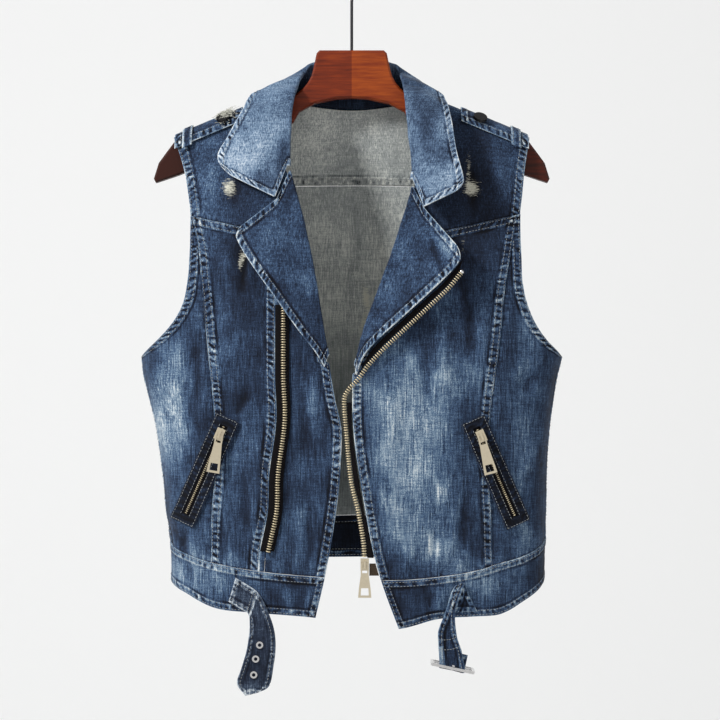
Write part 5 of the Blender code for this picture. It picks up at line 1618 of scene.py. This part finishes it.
def cross_rows(grid, out, far, inset):
    """Stitches across a strap, at a distance down it."""
    line, up = at_offset(grid, out, "top", far)
    sew(line, up, inset, inset, pitch=2.9)


# Rows of stitches seen inside: height over the yoke seam and length of a stitch, and height over the hem
CHAIN_ROWS = ((1.6, 2.8), (7.8, 2.8))
BAND_STITCHES = (2.6, 8.6, 37.0)


def inner_seam():
    """Chain stitching on the inside of the back's yoke seam, seen through the open front."""
    angle = around(np.linspace(150, 210, 500))
    height = yoke_height(angle)
    zigzag = 4.6 + 2.0 * np.sign(np.sin(np.arange(500) * 2 * math.pi / 12.0))
    for rise, pitch in (*CHAIN_ROWS, (zigzag, 1.5)):
        out = -facing(angle, height + rise)
        sew(skin(angle, height + rise) + out * 0.55, out, pitch=pitch)
    height = band_height(angle, "bottom")
    for rise in BAND_STITCHES:
        out = -facing(angle, height + rise)
        sew(skin(angle, height + rise) + out * 0.3, out)


def fluff(name, places, out, length, seed, wide=0.24):
    """Loose pale threads about a frayed place."""
    rng = np.random.default_rng(seed)
    rows = []
    for place, up in zip(places, out):
        way = unit(rng.normal(size=3) * (1.0, 0.5, 0.45))
        way = unit(way - up * (way @ up) * 0.6)
        rows.append((place, way, up))
    dress(make_mesh(name, *build_stitches(rows, length, wide, wide), (FLUFF,)), None, "denim_pale")


# Loose threads over the left epaulet's button: their number, middle, spread and height
TUFT_COUNT, TUFT_X, TUFT_ACROSS, TUFT_LOW = 420, (-129.5, 4.2), (-6.5, 2.6), 5.8
# Those on the lapels and the collar: place, spread both ways and number
THREAD_SPOTS = ((-123.5, -243, 2.8, 4.0, 34), (-111, -316, 1.2, 5.0, 16), (121.5, -244, 3.6, 4.0, 46),
                (118, -224, 1.2, 8.0, 12))


def frayed_places():
    """Loose threads at the worn corners and over the left epaulet's button."""
    rng = np.random.default_rng(3)
    x = rng.normal(*TUFT_X, TUFT_COUNT)
    across = rng.normal(*TUFT_ACROSS, TUFT_COUNT)
    place, out = raised(ridge_point, x, across, TUFT_LOW + rng.uniform(0, 3.0, TUFT_COUNT))
    fluff("epaulet_fluff", place, out, 3.4, 5, 0.5)
    for k, (x, z, wide, tall, count) in enumerate(THREAD_SPOTS):
        xs, zs = rng.normal(x, wide, count), rng.normal(z, tall, count)
        place = on_front(xs, zs, 1.8)
        fluff(f"fray_threads_{k + 1}", place, facing(angle_of(xs, zs), zs), 2.4, 20 + k)


WOOD_BEVEL, METAL_BEVEL, BEVEL_ANGLE = 0.9, 0.35, 35.0


def metal():
    """Better finishes on the metal pieces and the hanger, whose shapes stay as they are."""
    for name, look in FINISHES.items():
        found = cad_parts[name]
        for slot in found.material_slots:
            slot.material = look
        soften = found.modifiers.new("soft_edges", "BEVEL")
        soften.width = (WOOD_BEVEL if name == "hanger_wood" else METAL_BEVEL) * MM
        soften.segments = 2
        soften.limit_method = "ANGLE"
        soften.angle_limit = math.radians(BEVEL_ANGLE)


# Camera and studio, in metres
CAMERA_PLACE = (0.0085, -2.262, -0.417)
LENS, SENSOR = 110.0, 36.0   # in millimetres
AIM = (0.0, -0.03, -0.42)
LAMPS = {"key_light": ((-1.9, -1.5, 1.25), 0.45, 96.0), "fill_light": ((1.9, -2.0, 0.0), 2.2, 6.0)}
SKY, SKY_STRENGTH = (1.0, 0.985, 0.98, 1), 0.66
STAGE_HALF, FLOOR_LEVEL, WALL_PLACE = 7.0, -2.0, 3.3


def camera_and_light():
    """The photo's view, its two lamps, the sky, and the pale floor and wall."""
    scene = bpy.context.scene
    camera_data = bpy.data.cameras.new("camera")
    camera_data.lens = LENS
    camera_data.sensor_width = SENSOR
    scene.camera = placed("camera", camera_data)
    scene.camera.location = CAMERA_PLACE
    scene.camera.rotation_euler = (math.pi / 2, 0, 0)
    for name, (place, size, power) in LAMPS.items():
        lamp = bpy.data.lights.new(name, "AREA")
        lamp.size = size
        lamp.energy = power
        found = placed(name, lamp)
        found.location = place
        found.rotation_euler = (Vector(AIM) - Vector(place)).to_track_quat("-Z", "Y").to_euler()
    world = bpy.data.worlds.new("studio")
    world.use_nodes = True
    set_inputs(world.node_tree.nodes["Background"], {"Color": SKY, "Strength": SKY_STRENGTH})
    scene.world = world
    scene.view_settings.view_transform = "Standard"
    pale = plain("studio_pale", "f4f5f5", 0.95)
    low, high = FLOOR_LEVEL, FLOOR_LEVEL + 2 * STAGE_HALF
    floor = [(-STAGE_HALF, -STAGE_HALF, low), (STAGE_HALF, -STAGE_HALF, low), (STAGE_HALF, STAGE_HALF, low),
             (-STAGE_HALF, STAGE_HALF, low)]
    wall = [(-STAGE_HALF, WALL_PLACE, low), (STAGE_HALF, WALL_PLACE, low), (STAGE_HALF, WALL_PLACE, high),
            (-STAGE_HALF, WALL_PLACE, high)]
    for name, corners in (("floor", floor), ("backdrop", wall)):
        make_mesh(name, np.array(corners) / MM, [(0, 1, 2, 3)], (pale,))


main_panels()
yokes()
waistbands()
lapels()
collar()
epaulets()
main_zip()
pockets()
left_strap()
right_strap()
inner_seam()
frayed_places()
metal()
dress(make_mesh("stitches", *build_stitches(STITCHES), (THREAD,)), None, "denim")
camera_and_light()
